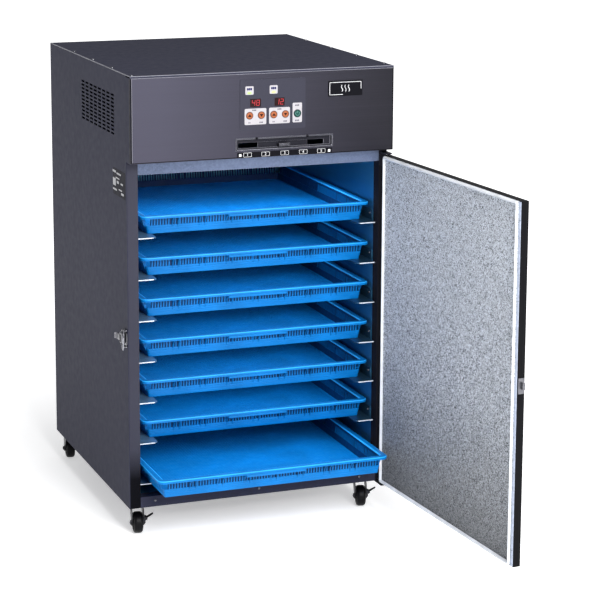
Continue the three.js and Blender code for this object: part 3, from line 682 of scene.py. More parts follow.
# ---- trays -------------------------------------------------------------------------------------
tray_low, tray_high = corner_box("tray_1")
TRAY_WIDTH, TRAY_DEPTH, TRAY_HEIGHT = (high - low for low, high in zip(tray_low, tray_high))
TRAY_CORNER = 16.0
WALL_END = 27.0
RIB_PITCH, RIB_WIDTH = 6.7, 2.9
RIB_LOW, RIB_HIGH = 18.2, 36.2
WALL_THICKNESS = 2.3
ARCH_PITCH, ARCH_CLEARANCE, ARCH_LEG = 65.0, 7.0, 6.8
APRON_END = ARCH_PITCH + 6
FLOOR_INSET = 25.0
GRID_PITCH, GRID_HALF_BAR = 7.0, 0.8
GUSSET = [(3.0, 40.8), (13.4, 40.8), (15.6, 18.0), (15.9, 12.0), (14.6, 14.0), (9.0, 30.0), (3.0, 35.0)]
APRON = [(0.0, 37.6), (0.0, 31.6), (0.6, 30.8), (2.2, 30.8), (2.2, 37.6)]
RIM = [
    (0.0, 36.6), (0.0, TRAY_HEIGHT - 1.8), (0.5, TRAY_HEIGHT - 0.6), (1.7, TRAY_HEIGHT),
    (12.0, TRAY_HEIGHT), (14.2, TRAY_HEIGHT - 0.5), (15.3, TRAY_HEIGHT - 2.0), (15.6, 35.6),
    (13.1, 35.6), (12.7, TRAY_HEIGHT - 2.6), (2.4, TRAY_HEIGHT - 2.6), (2.2, 36.6),
]
FOOT = [
    (15.2, 19.0), (15.4, 14.8), (16.5, 14.0), (16.8, 8.6), (17.9, 7.8), (18.2, 1.4),
    (19.0, 0.0), (27.0, 0.0), (27.0, 2.4), (22.4, 2.4), (20.9, 3.6), (17.6, 19.0),
]


def swept_wall(shape, profile):
    """Closed (inset, z) profile carried round the tray's rounded outline."""
    rings = []
    for inset, z in profile:
        x, y = TRAY_WIDTH / 2 - inset, TRAY_DEPTH / 2 - inset
        radius = max(TRAY_CORNER - inset * 0.62, 4.0)
        rings.append([(u, v, z) for u, v in rounded_rectangle(-x, x, -y, y, radius, 7)])
    shape.loft(rings, closed=True)


def wall_matrix(side):
    """Frame of one wall: x runs along it, y is the inset from the outer edge, z is up."""
    turn = {"front": 0, "right": 90, "back": 180, "left": 270}[side]
    reach = TRAY_DEPTH / 2 if side in ("front", "back") else TRAY_WIDTH / 2
    return Matrix.Rotation(math.radians(turn), 4, "Z") @ Matrix.Translation((0, -reach, 0))


def wall_bar(shape, matrix, x0, x1, z=(RIB_LOW, RIB_HIGH), depth=(0.0, WALL_THICKNESS), slot=0):
    """Upright piece of wall that leans outwards with the moulding's draft."""
    def lean(height):
        return 15.3 - 2.3 * (height - 18.0) / 18.0
    points = [(x, lean(height) + inner, height) for x in (x0, x1) for inner in depth for height in z]
    shape.block(points, slot, matrix)


def slotted_wall(shape, side):
    """Ribs between the rim and the lower band, with an arched gusset at each group's end, and on the front a dark
    sheet behind the ribs as painted shade.
    """
    matrix = wall_matrix(side)
    length = (TRAY_WIDTH if side in ("front", "back") else TRAY_DEPTH) - 2 * WALL_END
    half_groups = int(length / 2 // ARCH_PITCH)
    arches = [i * ARCH_PITCH for i in range(-half_groups, half_groups + 1)]
    x = -length / 2
    while x < length / 2:
        if min(abs(x + RIB_PITCH / 2 - arch) for arch in arches) > ARCH_CLEARANCE:
            wall_bar(shape, matrix, x, x + RIB_WIDTH)
        x += RIB_PITCH
    for arch in arches:
        for x0, x1 in ((-1.2, 1.2), (-8.2, -5.4), (5.4, 8.2)):
            wall_bar(shape, matrix, arch + x0, arch + x1)
        for leg in (arch - ARCH_LEG, arch + ARCH_LEG):
            shape.prism(GUSSET, leg - 0.9, leg + 0.9, "x", matrix=matrix)
    # Painted shade: a dark sheet just inside the front ribs darkens the slots.
    if side == "front":
        shade_sheet_depth = (WALL_THICKNESS - 0.2, WALL_THICKNESS + 0.3)
        wall_bar(shape, matrix, -length / 2 - 2, length / 2 + 2, (18.4, 36.0), shade_sheet_depth, 1)
    if side in ("front", "back"):
        shape.prism(APRON, -APRON_END, APRON_END, "x", matrix=matrix)
        for arch in (-ARCH_PITCH, ARCH_PITCH):
            shape.box(around(arch, 7), (2.0, 13.8), (31.0, 33.2), matrix=matrix)


def tray_floor(shape):
    """Fine grid on a thin web, with a few stiffening ribs below."""
    half_x, half_y = TRAY_WIDTH / 2 - FLOOR_INSET, TRAY_DEPTH / 2 - FLOOR_INSET
    shape.box((-half_x, half_x), (-half_y, half_y), (0.9, 2.0))
    for i in range(-int(half_x // GRID_PITCH), int(half_x // GRID_PITCH) + 1):
        shape.box(around(i * GRID_PITCH, GRID_HALF_BAR), (-half_y + 0.5, half_y - 0.5), (1.9, 2.5))
    for i in range(-int(half_y // GRID_PITCH), int(half_y // GRID_PITCH) + 1):
        shape.box((-half_x + 0.5, half_x - 0.5), around(i * GRID_PITCH, GRID_HALF_BAR), (1.9, 2.65))
    for i in range(-5, 6):
        shape.box(around(i * 46, 1.1), (-half_y, half_y), (0.05, 1.0))
        shape.box((-half_x, half_x), around(i * 48, 1.1), (0.0, 1.0))


def tray_mesh():
    """Bread-crate style tray, centred in plan on the origin with its underside at z = 0."""
    shape = Shape()
    swept_wall(shape, RIM)
    swept_wall(shape, FOOT)
    for side in ("front", "right", "back", "left"):
        slotted_wall(shape, side)
    tray_floor(shape)
    bmesh.ops.recalc_face_normals(shape.bm, faces=shape.bm.faces)
    for face in shape.bm.faces:
        centre = face.calc_center_median()
        inward = centre.x * face.normal.x + centre.y * face.normal.y < 0
        # Painted highlight: small faces along the rim's top edge take the lighter blue.
        if centre.z > TRAY_HEIGHT - 1.9 and abs(face.normal.z) < 0.98:
            face.material_index = 2
        # Painted shade: the walls' inward faces take the dark tray plastic.
        elif inward and abs(face.normal.z) < 0.5 and 3.0 < centre.z < TRAY_HEIGHT - 2.0:
            face.material_index = 1
    return shape.mesh("dryer_tray", 32)


shared_tray = tray_mesh()
for tray in TRAYS:
    low, high = corner_box(tray)
    centre = Vector(((low[0] + high[0]) / 2, (low[1] + high[1]) / 2, low[2]))
    place(f"{tray}_moulding", shared_tray, [tray_blue, tray_painted_shade, tray_rim_highlight], tray, [tray],
          at=Matrix.Translation(centre * MM))


# ---- rails -------------------------------------------------------------------------------------
RAIL_PITCH, RAIL_SHEET, RAIL_REACH = 95.8, 1.5, 47.5


def tray_rack(node, into, tone):
    """Seven folded rails: shelves with a turned-down edge on legs that lie on the chamber wall."""
    low, high = corner_box(node)
    wall = low[0] if into > 0 else high[0]
    front, back = low[1], high[1]

    def across(a, b):
        return tuple(sorted((wall + into * a, wall + into * b)))

    def plan(points):
        return [(wall + into * a, y) for a, y in points]

    shelf_plan = plan([(1.2, front + 1.5), (40.0, front + 1.5), (44.5, front + 3.0),
                       (RAIL_REACH, front + 9), (RAIL_REACH, back), (1.2, back)])
    lip_plan = plan([(1.2, front + 1.5), (3.2, front), (38.0, front), (40.0, front + 1.5)])
    shelves, legs = Shape(), Shape()
    spots = []
    for level in range(len(TRAYS)):
        shelf = low[2] + RAIL_SHEET + RAIL_PITCH * level
        shelves.prism(shelf_plan, shelf - RAIL_SHEET, shelf)
        shelves.prism(lip_plan, shelf - 2.4, shelf, slot=1)
        fold = across(RAIL_REACH - 1.6, RAIL_REACH)
        shelves.box(fold, (front + 10, back - 4), (shelf - 4.0, shelf - 1.2))
        legs.box(across(0.0, RAIL_SHEET), (front + 22, back), (shelf - 0.9, shelf + 25))
        spots += [(wall + into * RAIL_SHEET, y, shelf + 16) for y in (front + 34, -20, back - 40)]
    legs.box(across(0.0, 1.4), (back - 20, back), (low[2] + 2, high[2]))
    place(f"{node}_shelves", shelves, [tone, rail_lip_highlight], "cabinet", [node], 0.35)
    place(f"{node}_legs", legs, [painted_shade_rail_metal], "cabinet", bevel=0.3)
    drive_screws(f"{node}_screw", spots, "+x" if into > 0 else "-x", SMALL_SCREW)


tray_rack("left_tray_rack", 1, rail_steel_painted_reflection)
# The right rack takes the darker rail steel as painted shade.
tray_rack("right_tray_rack", -1, painted_shade_rail_metal)


# ---- control head ------------------------------------------------------------------------------
overlay_low, overlay_high = corner_box("control_overlay")
PANEL = overlay_low[1]
FILM_INK = (PANEL, PANEL + 0.25)
CAPTION_INK = (PANEL - 0.06, PANEL + 0.02)
KEYS = [
    ("temperature_up_button", "up"), ("temperature_down_button", "down"),
    ("timer_up_button", "up"), ("timer_down_button", "down"), ("power_button", "power"),
]
KEY_PLATES = {
    "temperature_key_plate": ((-48.4, 3.1, 880.0, 916.4), slice(0, 2)),
    "timer_key_plate": ((9.8, 59.8, 880.0, 916.4), slice(2, 4)),
    "power_key_plate": ((66.3, 88.8, 880.4, 925.0), slice(4, 5)),
}
LAMPS = {"heating_lamp": ((-46.6, -27.2), led_green), "airflow_lamp": ((11.1, 30.1), led_amber)}
KEY_CAPTIONS = [
    (-25.0, 912.6, 10), (35.0, 912.6, 10), (-36.6, 884.6, 6), (-8.6, 884.6, 9),
    (21.1, 884.6, 6), (49.0, 884.6, 9), (77.6, 919.4, 10), (77.6, 885.0, 10),
]


def pad(name, x, z, y, material, radius=2.0):
    """Thin rounded plate or print on the front of the head, given as (low, high) along each axis."""
    shape = Shape()
    shape.prism(rounded_rectangle(*x, *z, radius), *y, "y")
    return place(name, shape, [material], "cabinet")


def plate_with_holes(outline, holes, front, back):
    """Flat plate in the XZ plane with round or square holes, as a closed mesh."""
    shape = Shape()
    sides = []
    for y in (front, back):
        sides.append([shape.vertices([(u, y, v) for u, v in loop]) for loop in (outline, *holes)])
    for front_loop, back_loop in zip(*sides):
        shape.skin(front_loop, back_loop)
    for loops in sides:
        shape.fill(loops)
    return shape


def key_centre(name):
    low, high = corner_box(name)
    return (low[0] + high[0]) / 2, (low[2] + high[2]) / 2, (high[0] - low[0]) / 2


def control_panel():
    """Printed film with its white key plates, and holes for the keys and display windows."""
    key_holes = []
    for name, _ in KEYS:
        x, z, radius = key_centre(name)
        key_holes.append(circle(x, z, radius + 0.45))
    window_holes = []
    for name in ("temperature_display", "timer_display"):
        low, high = corner_box(name)
        window_holes.append(rounded_rectangle(low[0], high[0], low[2], high[2], 1.0))
    outline = rounded_rectangle(overlay_low[0], overlay_high[0], overlay_low[2], overlay_high[2], 3.0)
    base = plate_with_holes(outline, key_holes + window_holes, PANEL + 0.2, overlay_high[1])
    place("control_film", base, [film], "cabinet", ["control_overlay"])
    for name, (corners, keys) in KEY_PLATES.items():
        shape = plate_with_holes(rounded_rectangle(*corners, 2.6), key_holes[keys], *FILM_INK)
        place(name, shape, [key_plate_ink], "cabinet")


def lamp_plates():
    """White plates with a lit lamp over a plain three-part caption."""
    for name, (x, lamp) in LAMPS.items():
        pad(f"{name}_plate", x, (948.0, 967.0), FILM_INK, key_plate_ink, 2.2)
        middle = sum(x) / 2
        pad(f"{name}_light", around(middle, 4.6), (949.4, 954.2), (PANEL - 0.2, PANEL), lamp, 1.6)
        for step in (-1, 0, 1):
            bar = around(middle + step * 4.2, 1.9)
            pad(f"{name}_mark_{step + 2}", bar, (958.0, 963.2), CAPTION_INK, blue_ink, 0.6)


def key_captions():
    """Three plain bars in place of each key's printed caption."""
    for index, (x, z, width) in enumerate(KEY_CAPTIONS):
        for part in range(3):
            left = x - width / 2 + part * width / 3
            bar = (left, left + width / 3 - 1.0)
            pad(f"key_caption_{index + 1}_{part + 1}", bar, around(z, 1.5), CAPTION_INK, caption_ink, 0.3)


def arrow_mark(x, z, face, sign):
    size = 4.4
    foot, tip = z - sign * size * 0.62, z + sign * size * 0.85
    shape = Shape()
    shape.prism([(x - size, foot), (x + size, foot), (x, tip)], face - 0.12, face + 0.25, "y")
    return shape


def power_mark(x, z, face):
    radius, stroke = 4.6, 0.45
    turns = [math.radians(125 + 290 * i / 20) for i in range(21)]
    ring = [(x + radius * math.cos(turn), face - 0.02, z + radius * math.sin(turn)) for turn in turns]
    shape = Shape()
    shape.tube(ring, stroke, 8)
    shape.box(around(x, stroke), (face - 0.5, face + 0.2), (z + 1.0, z + 5.8))
    return shape


def push_key(name, symbol):
    """Domed printed key with a darker ring and its mark, riding on its own button."""
    x, z, radius = key_centre(name)
    low, high = corner_box(name)
    face = low[1]
    disc, floor = radius * 0.8, face + 3.0
    middle = [(0.01, face), (radius * 0.62, face + 0.05), (disc, face + 0.2), (disc, floor), (0.01, floor)]
    ring = [
        (disc, face + 0.2), (radius * 0.88, face + 0.35), (radius * 0.97, face + 0.8), (radius, face + 1.4),
        (radius, face + 5.0), (3.0, face + 5.4), (3.0, high[1]), (0.01, high[1]), (0.01, floor), (disc, floor),
    ]
    cap = Shape()
    cap.lathe(middle, (x, 0, z), "y", 40)
    cap.lathe(ring, (x, 0, z), "y", 40, 1)
    if symbol == "power":
        coats, slot, mark, ink = [green_key, green_ring], "green_key", power_mark(x, z, face), power_ink
    else:
        mark = arrow_mark(x, z, face, 1 if symbol == "up" else -1)
        coats, slot, ink = [orange_key, orange_ring], "orange_key", red_ink
    place(f"{name}_cap", cap, coats, name, [name], smooth=30)
    place(f"{name}_symbol", mark, [ink], name)


SEGMENTS = {"1": "bc", "2": "abged", "4": "fgbc", "8": "abcdefg"}
SEGMENT_BAR, SEGMENT_SLANT = 1.3, 0.09


def display(name, digits):
    """Two-digit LED window with real lit segments behind a smoked lens."""
    low, high = corner_box(name)
    lens = Shape()
    lens.prism(rounded_rectangle(low[0], high[0], low[2], high[2], 0.8), low[1] + 0.15, high[1], "y")
    place(f"{name}_lens", lens, [window_red], "cabinet", [name], 0.15)
    height, width = (high[2] - low[2]) * 0.7, (high[0] - low[0]) * 0.3
    base = (low[2] + high[2]) / 2 - height / 2
    middle, top = base + height / 2, base + height
    for order, digit in enumerate(digits):
        left = (low[0] + high[0]) / 2 + (order - 1) * (width + 2.8) + 1.4
        right = left + width
        whole, first, last = (left, right), (left, left + SEGMENT_BAR), (right - SEGMENT_BAR, right)
        spots = {
            "a": (whole, (top - SEGMENT_BAR, top)),
            "b": (last, (middle, top)),
            "c": (last, (base, middle)),
            "d": (whole, (base, base + SEGMENT_BAR)),
            "e": (first, (base, middle)),
            "f": (first, (middle, top)),
            "g": (whole, (middle - SEGMENT_BAR / 2, middle + SEGMENT_BAR / 2)),
        }
        lit = Shape()
        for segment in SEGMENTS[digit]:
            (x0, x1), (z0, z1) = spots[segment]
            lit.block([(x + (z - base) * SEGMENT_SLANT, y, z) for x in (x0 + 0.15, x1 - 0.15)
                       for y in (low[1] - 0.05, low[1] + 0.3) for z in (z0 + 0.15, z1 - 0.15)])
        place(f"{name}_digit_{order + 1}", lit, [led_red], "cabinet")


frame_low, frame_high = corner_box("damper_frame")
DAMPER_FRONT, DAMPER_BACK = frame_low[1], frame_high[1]
DAMPER_SLOT = (-61.4, 144.5, 826.6, 838.5)


def damper_recess():
    """Pressed frame round the slot, with its two screws."""
    x0, x1, z0, z1 = frame_low[0], frame_high[0], frame_low[2], frame_high[2]
    lip = DAMPER_FRONT - 0.9
    outer = rounded_rectangle(x0, x1, z0, z1, 1.5)
    slot = rounded_rectangle(*DAMPER_SLOT, 2.4)
    loops = [
        (outer, lip), (rounded_rectangle(x0 + 2.2, x1 - 2.2, z0 + 2.2, z1 - 2.2, 2.0), lip),
        (rounded_rectangle(x0 + 3.4, x1 - 3.4, z0 + 3.4, z1 - 3.4, 2.0), DAMPER_FRONT + 0.4),
        (rounded_rectangle(x0 + 4.4, x1 - 4.4, z0 + 4.2, z1 - 4.2, 1.8), DAMPER_BACK - 3.0),
        (slot, DAMPER_BACK - 3.0), (slot, DAMPER_BACK), (outer, DAMPER_BACK),
    ]
    shape = Shape()
    shape.loft([[(u, y, v) for u, v in loop] for loop, y in loops], closed=True)
    coats = [recess_black, damper_edge_highlight]
    place("damper_recess", shape, coats, "cabinet", ["damper_frame"], 0.45, 1, 30)
    drive_screws("damper_screw", [(x, lip, z1 - 1.6) for x in (-19.6, 102.6)], "-y", DARK_SCREW, black_ink)


def damper_tab():
    """Ribbed finger tab on the slide plate."""
    low, high = corner_box("damper_slide")
    middle = (low[0] + high[0]) / 2
    tip, root = low[1], DAMPER_BACK + 1.0
    profile = [(tip, 829.2), (tip + 0.4, 827.7), (tip + 2.0, 827.6), (root, 829.0), (root, 834.0),
               (tip + 6.0, 834.4), (tip + 2.6, 835.2), (tip + 0.5, 834.6)]
    tab = Shape()
    tab.loft([[(middle + w, y, z) for y, z in profile] for w in (-13, -12.2, 12.2, 13)])
    for i in range(-4, 5):
        tab.box(around(middle + i * 2.4, 0.4), (tip - 0.05, tip + 0.5), (828.4, 834.2))
    tab.box((low[0], high[0]), (DAMPER_BACK + 0.5, DAMPER_BACK + 2.0), (low[2], high[2]), slot=2)
    coats = [damper_steel, damper_edge_highlight, recess_black]
    place("damper_tab", tab, coats, "damper", ["damper_slide"], 0.4, 1)


def numeral(name, text, x, z, front):
    """Raised printed numeral facing the front."""
    curve = bpy.data.curves.new(name, "FONT")
    curve.body = text
    curve.size = 8.91 * MM
    curve.align_x = "CENTER"
    curve.align_y = "CENTER"
    curve.extrude = 0.05 * MM
    curve.materials.append(white_ink)
    piece = add_object(name, curve)
    piece.matrix_world = Matrix.Translation(Vector((x, front, z)) * MM) @ FACING["-y"]
    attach(piece, "cabinet")


def damper_scale():
    """Black strip under the slot with numbered boxes between two end marks."""
    ink = (DAMPER_FRONT - 0.42, DAMPER_FRONT - 0.3)
    strip = (DAMPER_FRONT - 0.35, DAMPER_FRONT + 0.05)
    pad("scale_strip", (-66.0, 162.7), (805.9, 818.0), strip, black_ink, 0.8)
    for index, x in enumerate((-58.6, 156.0)):
        pad(f"scale_end_mark_{index + 1}", around(x, 2.9), (808.6, 814.4), ink, white_ink, 0.8)
    for index, x in enumerate((-41.2, 1.9, 47.8, 92.8, 136.7)):
        outer = rounded_rectangle(*around(x, 9.8), 807.0, 816.8, 1.4)
        inner = rounded_rectangle(*around(x, 9.1), 807.7, 816.1, 0.9)
        rim = plate_with_holes(outer, [inner], *ink)
        place(f"scale_box_{index + 1}", rim, [white_ink], "cabinet")
        numeral(f"scale_number_{index + 1}", str(index + 1), x, 811.9, ink[0])


def badge():
    """Small black plate with a broken white border and a plain rising-heat mark."""
    x0, x1, z0, z1 = 152.5, 236.2, 935.5, 970.5
    front = PANEL + 0.3
    plate = Shape()
    plate.prism(rounded_rectangle(x0, x1, z0, z1, 1.2), front - 0.5, PANEL + 1.19, "y")
    place("badge_plate", plate, [black_ink], "cabinet", bevel=0.2)
    margin, line = 3, 1.1
    left, right, bottom, top = x0 + margin, x1 - margin, z0 + margin, z1 - margin
    for index, (x, z) in enumerate([
        ((left, right), (top - line, top)), ((left, left + line), (bottom, top)),
        ((left, x0 + 36), (bottom, bottom + line)), ((right - line, right), (z0 + 15, top)),
    ]):
        pad(f"badge_border_{index + 1}", x, z, (front - 0.62, front - 0.45), white_ink, 0.3)
    for index in range(3):
        centre = (x0 + x1) / 2 + (index - 1) * 8.5
        rise = range(13)
        path = [(centre + 1.6 * math.sin(t / 12 * 2 * math.pi), front - 0.55, z0 + 10 + t * 1.25) for t in rise]
        wave = Shape()
        wave.tube(path, 0.75, 8)
        place(f"badge_wave_{index + 1}", wave, [white_ink], "cabinet")


control_panel()
lamp_plates()
key_captions()
for button, symbol in KEYS:
    push_key(button, symbol)
display("temperature_display", "48")
display("timer_display", "12")
damper_recess()
damper_tab()
damper_scale()
badge()


# ---- shell details -----------------------------------------------------------------------------
lid_low, lid_high = corner_box("top_cover")
side_low, _ = corner_box("left_side_panel")
_, back_high = corner_box("back_cover")
head_low, head_high = corner_box("head_front_panel")


def head_joint_shadow():
    """Black strips in the joint round the front of the head and down its left edge: the joint's line darkened as
    painted shadow.
    """
    left, right, face = head_low[0], head_high[0], head_low[1]
    low, high = head_low[2] + 2.4, head_high[2] - 1.2
    depth = (face - 0.25, face + 0.6)
    joint = Shape()
    joint.box((left + 0.3, left + 3.2), depth, (low, high))
    joint.box((right - 2.9, right - 0.9), depth, (low, high))
    joint.box((left + 0.9, right - 0.9), depth, (head_low[2] + 0.7, low))
    joint.box((left - 0.25, left + 0.6), (face + 0.9, face + 7.5), (head_low[2] + 0.9, high))
    place("head_panel_joint_shadow", joint, [black_ink], "cabinet", bevel=0.2)


def lid_bead():
    """Rolled edges of the lid and of the head's left end, coated light as a painted highlight."""
    left, right, front, back = lid_low[0] + 0.6, lid_high[0] - 0.6, lid_low[1] + 0.6, lid_high[1] - 1
    top, seam = lid_high[2] - 0.4, lid_high[2] - 5.2
    end, face = head_low[0] + 3.9, head_low[1]
    bead = Shape()
    for radius, start, stop in (
        (1.1, (left, back, top), (left, front, top)),
        (0.9, (left, front, top), (right, front, top)),
        (0.9, (right, front, top), (right, back, top)),
        (0.6, (left + 2, lid_low[1], seam), (right - 2, lid_low[1], seam)),
        (0.6, (end, face, head_low[2] + 3), (end, face, head_high[2] - 2)),
    ):
        bead.tube([start, stop], radius)
    place("lid_bead", bead, [bead_highlight_coat], "cabinet")


def shell_screws():
    top, back, front = lid_high[2], back_high[1], side_low[1]
    drive_screws("lid_left_screw", [(lid_low[0] + 7, y, top) for y in (-357, -202, -41, 126)], "+z")
    drive_screws("lid_right_screw", [(lid_high[0] - 7, y, top) for y in (-326, -159, 5, 174)], "+z")
    drive_screws("sill_screw", [(x, front, 14.7) for x in (-253, 0, 253)], "-y", SMALL_SCREW)
    columns, rows = (-300, 0, 300), (14, 260, 510, 760, 985)
    drive_screws("back_screw", [(x, back, z) for x in columns for z in rows], "+y")
    drive_screws("back_vent_screw", [(x, back, 905) for x in (-170, 100)], "+y")


SIDE_LABEL = (-323.0, -226.0, 717.0, 778.0)
LABEL_LINES = [
    (-236, 770, 26, 5), (-272, 768, 34, 4), (-262, 757, 30, 3), (-236, 746, 22, 17), (-264, 748, 16, 6),
    (-240, 729, 30, 4), (-284, 733, 26, 3), (-296, 748, 18, 4), (-300, 726, 20, 5),
]


def labels():
    """Dark label with plain bars on the left side, and a blank rating plate on the back."""
    wall, back = side_low[0], back_high[1]
    plate = Shape()
    plate.prism(rounded_rectangle(*SIDE_LABEL, 2.0), wall - 0.35, wall - 0.02, "x")
    place("side_label", plate, [label_dark], "cabinet")
    for index, (y, z, length, height) in enumerate(LABEL_LINES):
        bar = rounded_rectangle(*around(y, length / 2), *around(z, height / 2), 1.0)
        line = Shape()
        line.prism(bar, wall - 0.45, wall - 0.3, "x")
        place(f"side_label_line_{index + 1}", line, [label_line], "cabinet")
    plate = Shape()
    plate.prism(rounded_rectangle(60.0, 150.0, 846.0, 894.0, 2.0), back + 0.02, back + 0.35, "y")
    place("rating_plate", plate, [blank_label], "cabinet")


def power_inlet():
    """Contact pins and fixing screws of the inlet on the back cover."""
    back = back_high[1]
    for index, (x, z) in enumerate(((213.5, 867.0), (220.0, 873.5), (226.5, 867.0))):
        pin = Shape()
        pin.box(around(x, 0.8), (back - 13, back + 0.5), around(z, 2.6))
        place(f"inlet_pin_{index + 1}", pin, [brass], "cabinet", bevel=0.3)
    drive_screws("inlet_screw", [(x, back + 2.4, 870) for x in (196, 244)], "+y", SMALL_SCREW)


lid_bead()
head_joint_shadow()
shell_screws()
labels()
power_inlet()


# ---- door --------------------------------------------------------------------------------------
def joint_named(name):
    return next(joint for joint in frame["joints"] if joint["name"] == name)


def upright_frame(joint_name, degrees):
    """Frame in millimetres on a vertical joint's axis, turned about it."""
    x, y, _ = Vector(joint_named(joint_name)["pos_m"]) / MM
    return Matrix.Translation((x, y, 0)) @ Matrix.Rotation(math.radians(degrees), 4, "Z")


DOOR_FRAME = upright_frame("door_hinge", 93.6)
FREE_EDGE, DOOR_INNER = -621.0, 10.0
DOOR_SEAL = (FREE_EDGE + 10, 0.0, 4.0, 789.4)
SEAL_SECTION = [
    (0.0, 0.0), (0.0, 1.4), (0.9, 1.8), (1.1, 3.2), (1.9, 4.4), (3.2, 4.9),
    (4.5, 4.6), (5.4, 3.6), (5.7, 2.2), (6.3, 1.5), (7.4, 1.2), (7.8, 0.0),
]


def rivet(radius, collar, crown, height, segments, matrix):
    profile = [(0.01, 0), (radius, 0), (radius, 0.5), (collar, crown), (0.01, height)]
    shape = Shape()
    shape.lathe(profile, segments=segments, matrix=matrix)
    return shape


def door_trim():
    """White bulb seal round the liner, and the riveted bright return lip along the free edge."""
    x0, x1, z0, z1 = DOOR_SEAL
    rings = []
    for inset, height in SEAL_SECTION:
        radius = max(5.0 - inset * 0.35, 1.0)
        loop = rounded_rectangle(x0 + inset, x1 - inset, z0 + inset, z1 - inset, radius)
        rings.append([(u, DOOR_INNER + 2.1 + height, v) for u, v in loop])
    seal = Shape()
    seal.loft(rings, closed=True, matrix=DOOR_FRAME)
    place("door_bulb_seal", seal, [gasket_silicone], "door", ["door_gasket"], smooth=50)

    surface = DOOR_INNER + 1.5
    width = (FREE_EDGE + 1.2, FREE_EDGE + 9.6)
    lip = Shape()
    lip.box(width, (DOOR_INNER + 0.05, surface), (4.5, 789.0), matrix=DOOR_FRAME)
    place("door_return_lip", lip, [lip_steel], "door", bevel=0.4)
    for index, z in enumerate((40, 210, 580, 750)):
        matrix = DOOR_FRAME @ Matrix.Translation((FREE_EDGE + 3.1, surface, z)) @ FACING["+y"]
        head = rivet(1.5, 1.0, 0.9, 1.0, 16, matrix)
        place(f"door_lip_rivet_{index + 1}", head, [screw_zinc], "door")


door_trim()


# ---- latch -------------------------------------------------------------------------------------
LATCH_PIN = (-319.5, -316)
LATCH_PLATE = (-328, -284, 382, 415)
LEVER_LOW, LEVER_HIGH = 387.6, 410.4
EAR_PLAN = [
    (-314.4, -324), (-321.0, -322), (-323.2, -318), (-323.2, -313), (-320.5, -308.5), (-314.4, -306),
]
LEVER_PLAN = [
    (-322.6, -315), (-317.0, -315), (-317.0, -300), (-318.8, -298.2),
    (-323, -298.2), (-325, -300), (-325, -311), (-324, -313.6),
]
CURL_PLAN = [
    (-325.0, -300), (-323.0, -300), (-323.0, -281), (-323.8, -277), (-326.2, -274.2),
    (-329, -273.6), (-329, -275.4), (-327.2, -275.8), (-325.5, -277.8), (-325.0, -281),
]
LOOP_CORNERS = [(0, 0, 384.5), (0, -62, 384.5), (0, -62, 413.5), (0, 0, 413.5)]


def latch_base():
    """Riveted plate with two ears and the lever's pin."""
    wall = side_low[0]
    base = Shape()
    base.prism(rounded_rectangle(*LATCH_PLATE, 9.0), wall - 1.8, wall - 0.3, "x")
    for z in (379.2, 416.8):
        base.prism(EAR_PLAN, z, z + 2.0)
    base.disc(2.0, 379.0, 419.0, LATCH_PIN, segments=20)
    for z in (378.2, 418.8):
        base.disc(3.2, z, z + 1.0, LATCH_PIN, segments=20)
    place("latch_base_plate", base, [latch_zinc, latch_bright_zinc_and_highlight], "cabinet", ["latch_base"], 0.5, 1)
    for index, z in enumerate((390, 407)):
        matrix = Matrix.Translation((wall - 1.8, -291, z)) @ FACING["-x"]
        head = rivet(3.0, 2.2, 1.3, 1.6, 20, matrix)
        place(f"latch_rivet_{index + 1}", head, [screw_zinc], "cabinet")


def latch_lever():
    """Curled lever on its barrel, with two black patches as painted shade, and the bent-wire loop that it pulls."""
    barrel = [(2.4, LEVER_LOW), (3.3, LEVER_LOW), (3.3, LEVER_HIGH), (2.4, LEVER_HIGH)]
    lever = Shape()
    lever.lathe(barrel, (*LATCH_PIN, 0), segments=24)
    lever.prism(LEVER_PLAN, LEVER_LOW, LEVER_HIGH)
    lever.prism(CURL_PLAN, 391.0, 405.0)
    coats = [latch_zinc, latch_bright_zinc_and_highlight]
    place("latch_lever_curled", lever, coats, "latch_lever", ["latch_lever"], 0.5, 1)
    # Painted shade: two thin black patches on the lever's face.
    recess = Shape()
    for y0, y1 in ((-310.6, -306.4), (-305.4, -301.4)):
        recess.prism(rounded_rectangle(y0, y1, 389.4, 406.6, 1.0), -325.3, -324.8, "x")
    place("latch_lever_shade_patches", recess, [black_ink], "latch_lever")

    tilt = Matrix.Translation((-322, -304, 0)) @ Matrix.Rotation(math.radians(-12), 4, "Z")
    loop = Shape()
    loop.tube(rounded_path(LOOP_CORNERS, 4.5), 1.3, 12, closed=True, matrix=tilt)
    place("latch_wire_loop", loop, [latch_bright_zinc_and_highlight], "latch_loop", ["latch_loop"], smooth=60)


latch_base()
latch_lever()


# ---- casters -----------------------------------------------------------------------------------
TRAIL, AXLE_Z, LEG_INNER = 18.0, -48.6, 12.5
EAR_X, EAR_Z = -19.0, -39.1
SWIVEL_SECTION = [
    (0.01, -8.4), (11, -8.4), (15.8, -8.8), (17, -10), (17, -12.6), (15.6, -14.0), (0.01, -14.4),
]
LEG_OUTLINE = [
    (-14, -13.4), (14, -13.4), (22, -16.5), (27.4, -22.5), (29.4, -31), (29.4, -38), (26.6, -48), (25.4, -52.6),
    (22.2, -55.6), (18, -56.6), (13.8, -55.4), (11, -52), (10, -48.6), (2, -38.4), (-8, -27), (-13, -19.5),
]
EAR_OUTLINE = [
    (-14.0, EAR_Z - 4.2), (EAR_X, EAR_Z - 3.6), (EAR_X - 3.0, EAR_Z - 1.6), (EAR_X - 3.4, EAR_Z + 0.8),
    (EAR_X - 1.6, EAR_Z + 3.2), (-14.0, EAR_Z + 4.4),
]
WHEEL_HALF = [
    (8.0, 12), (8.8, 10.0), (16.0, 9.0), (17.4, 10.6), (19.6, 11), (21.8, 10.2), (23.6, 8.6), (24.7, 6.2), (25, 3.4),
]
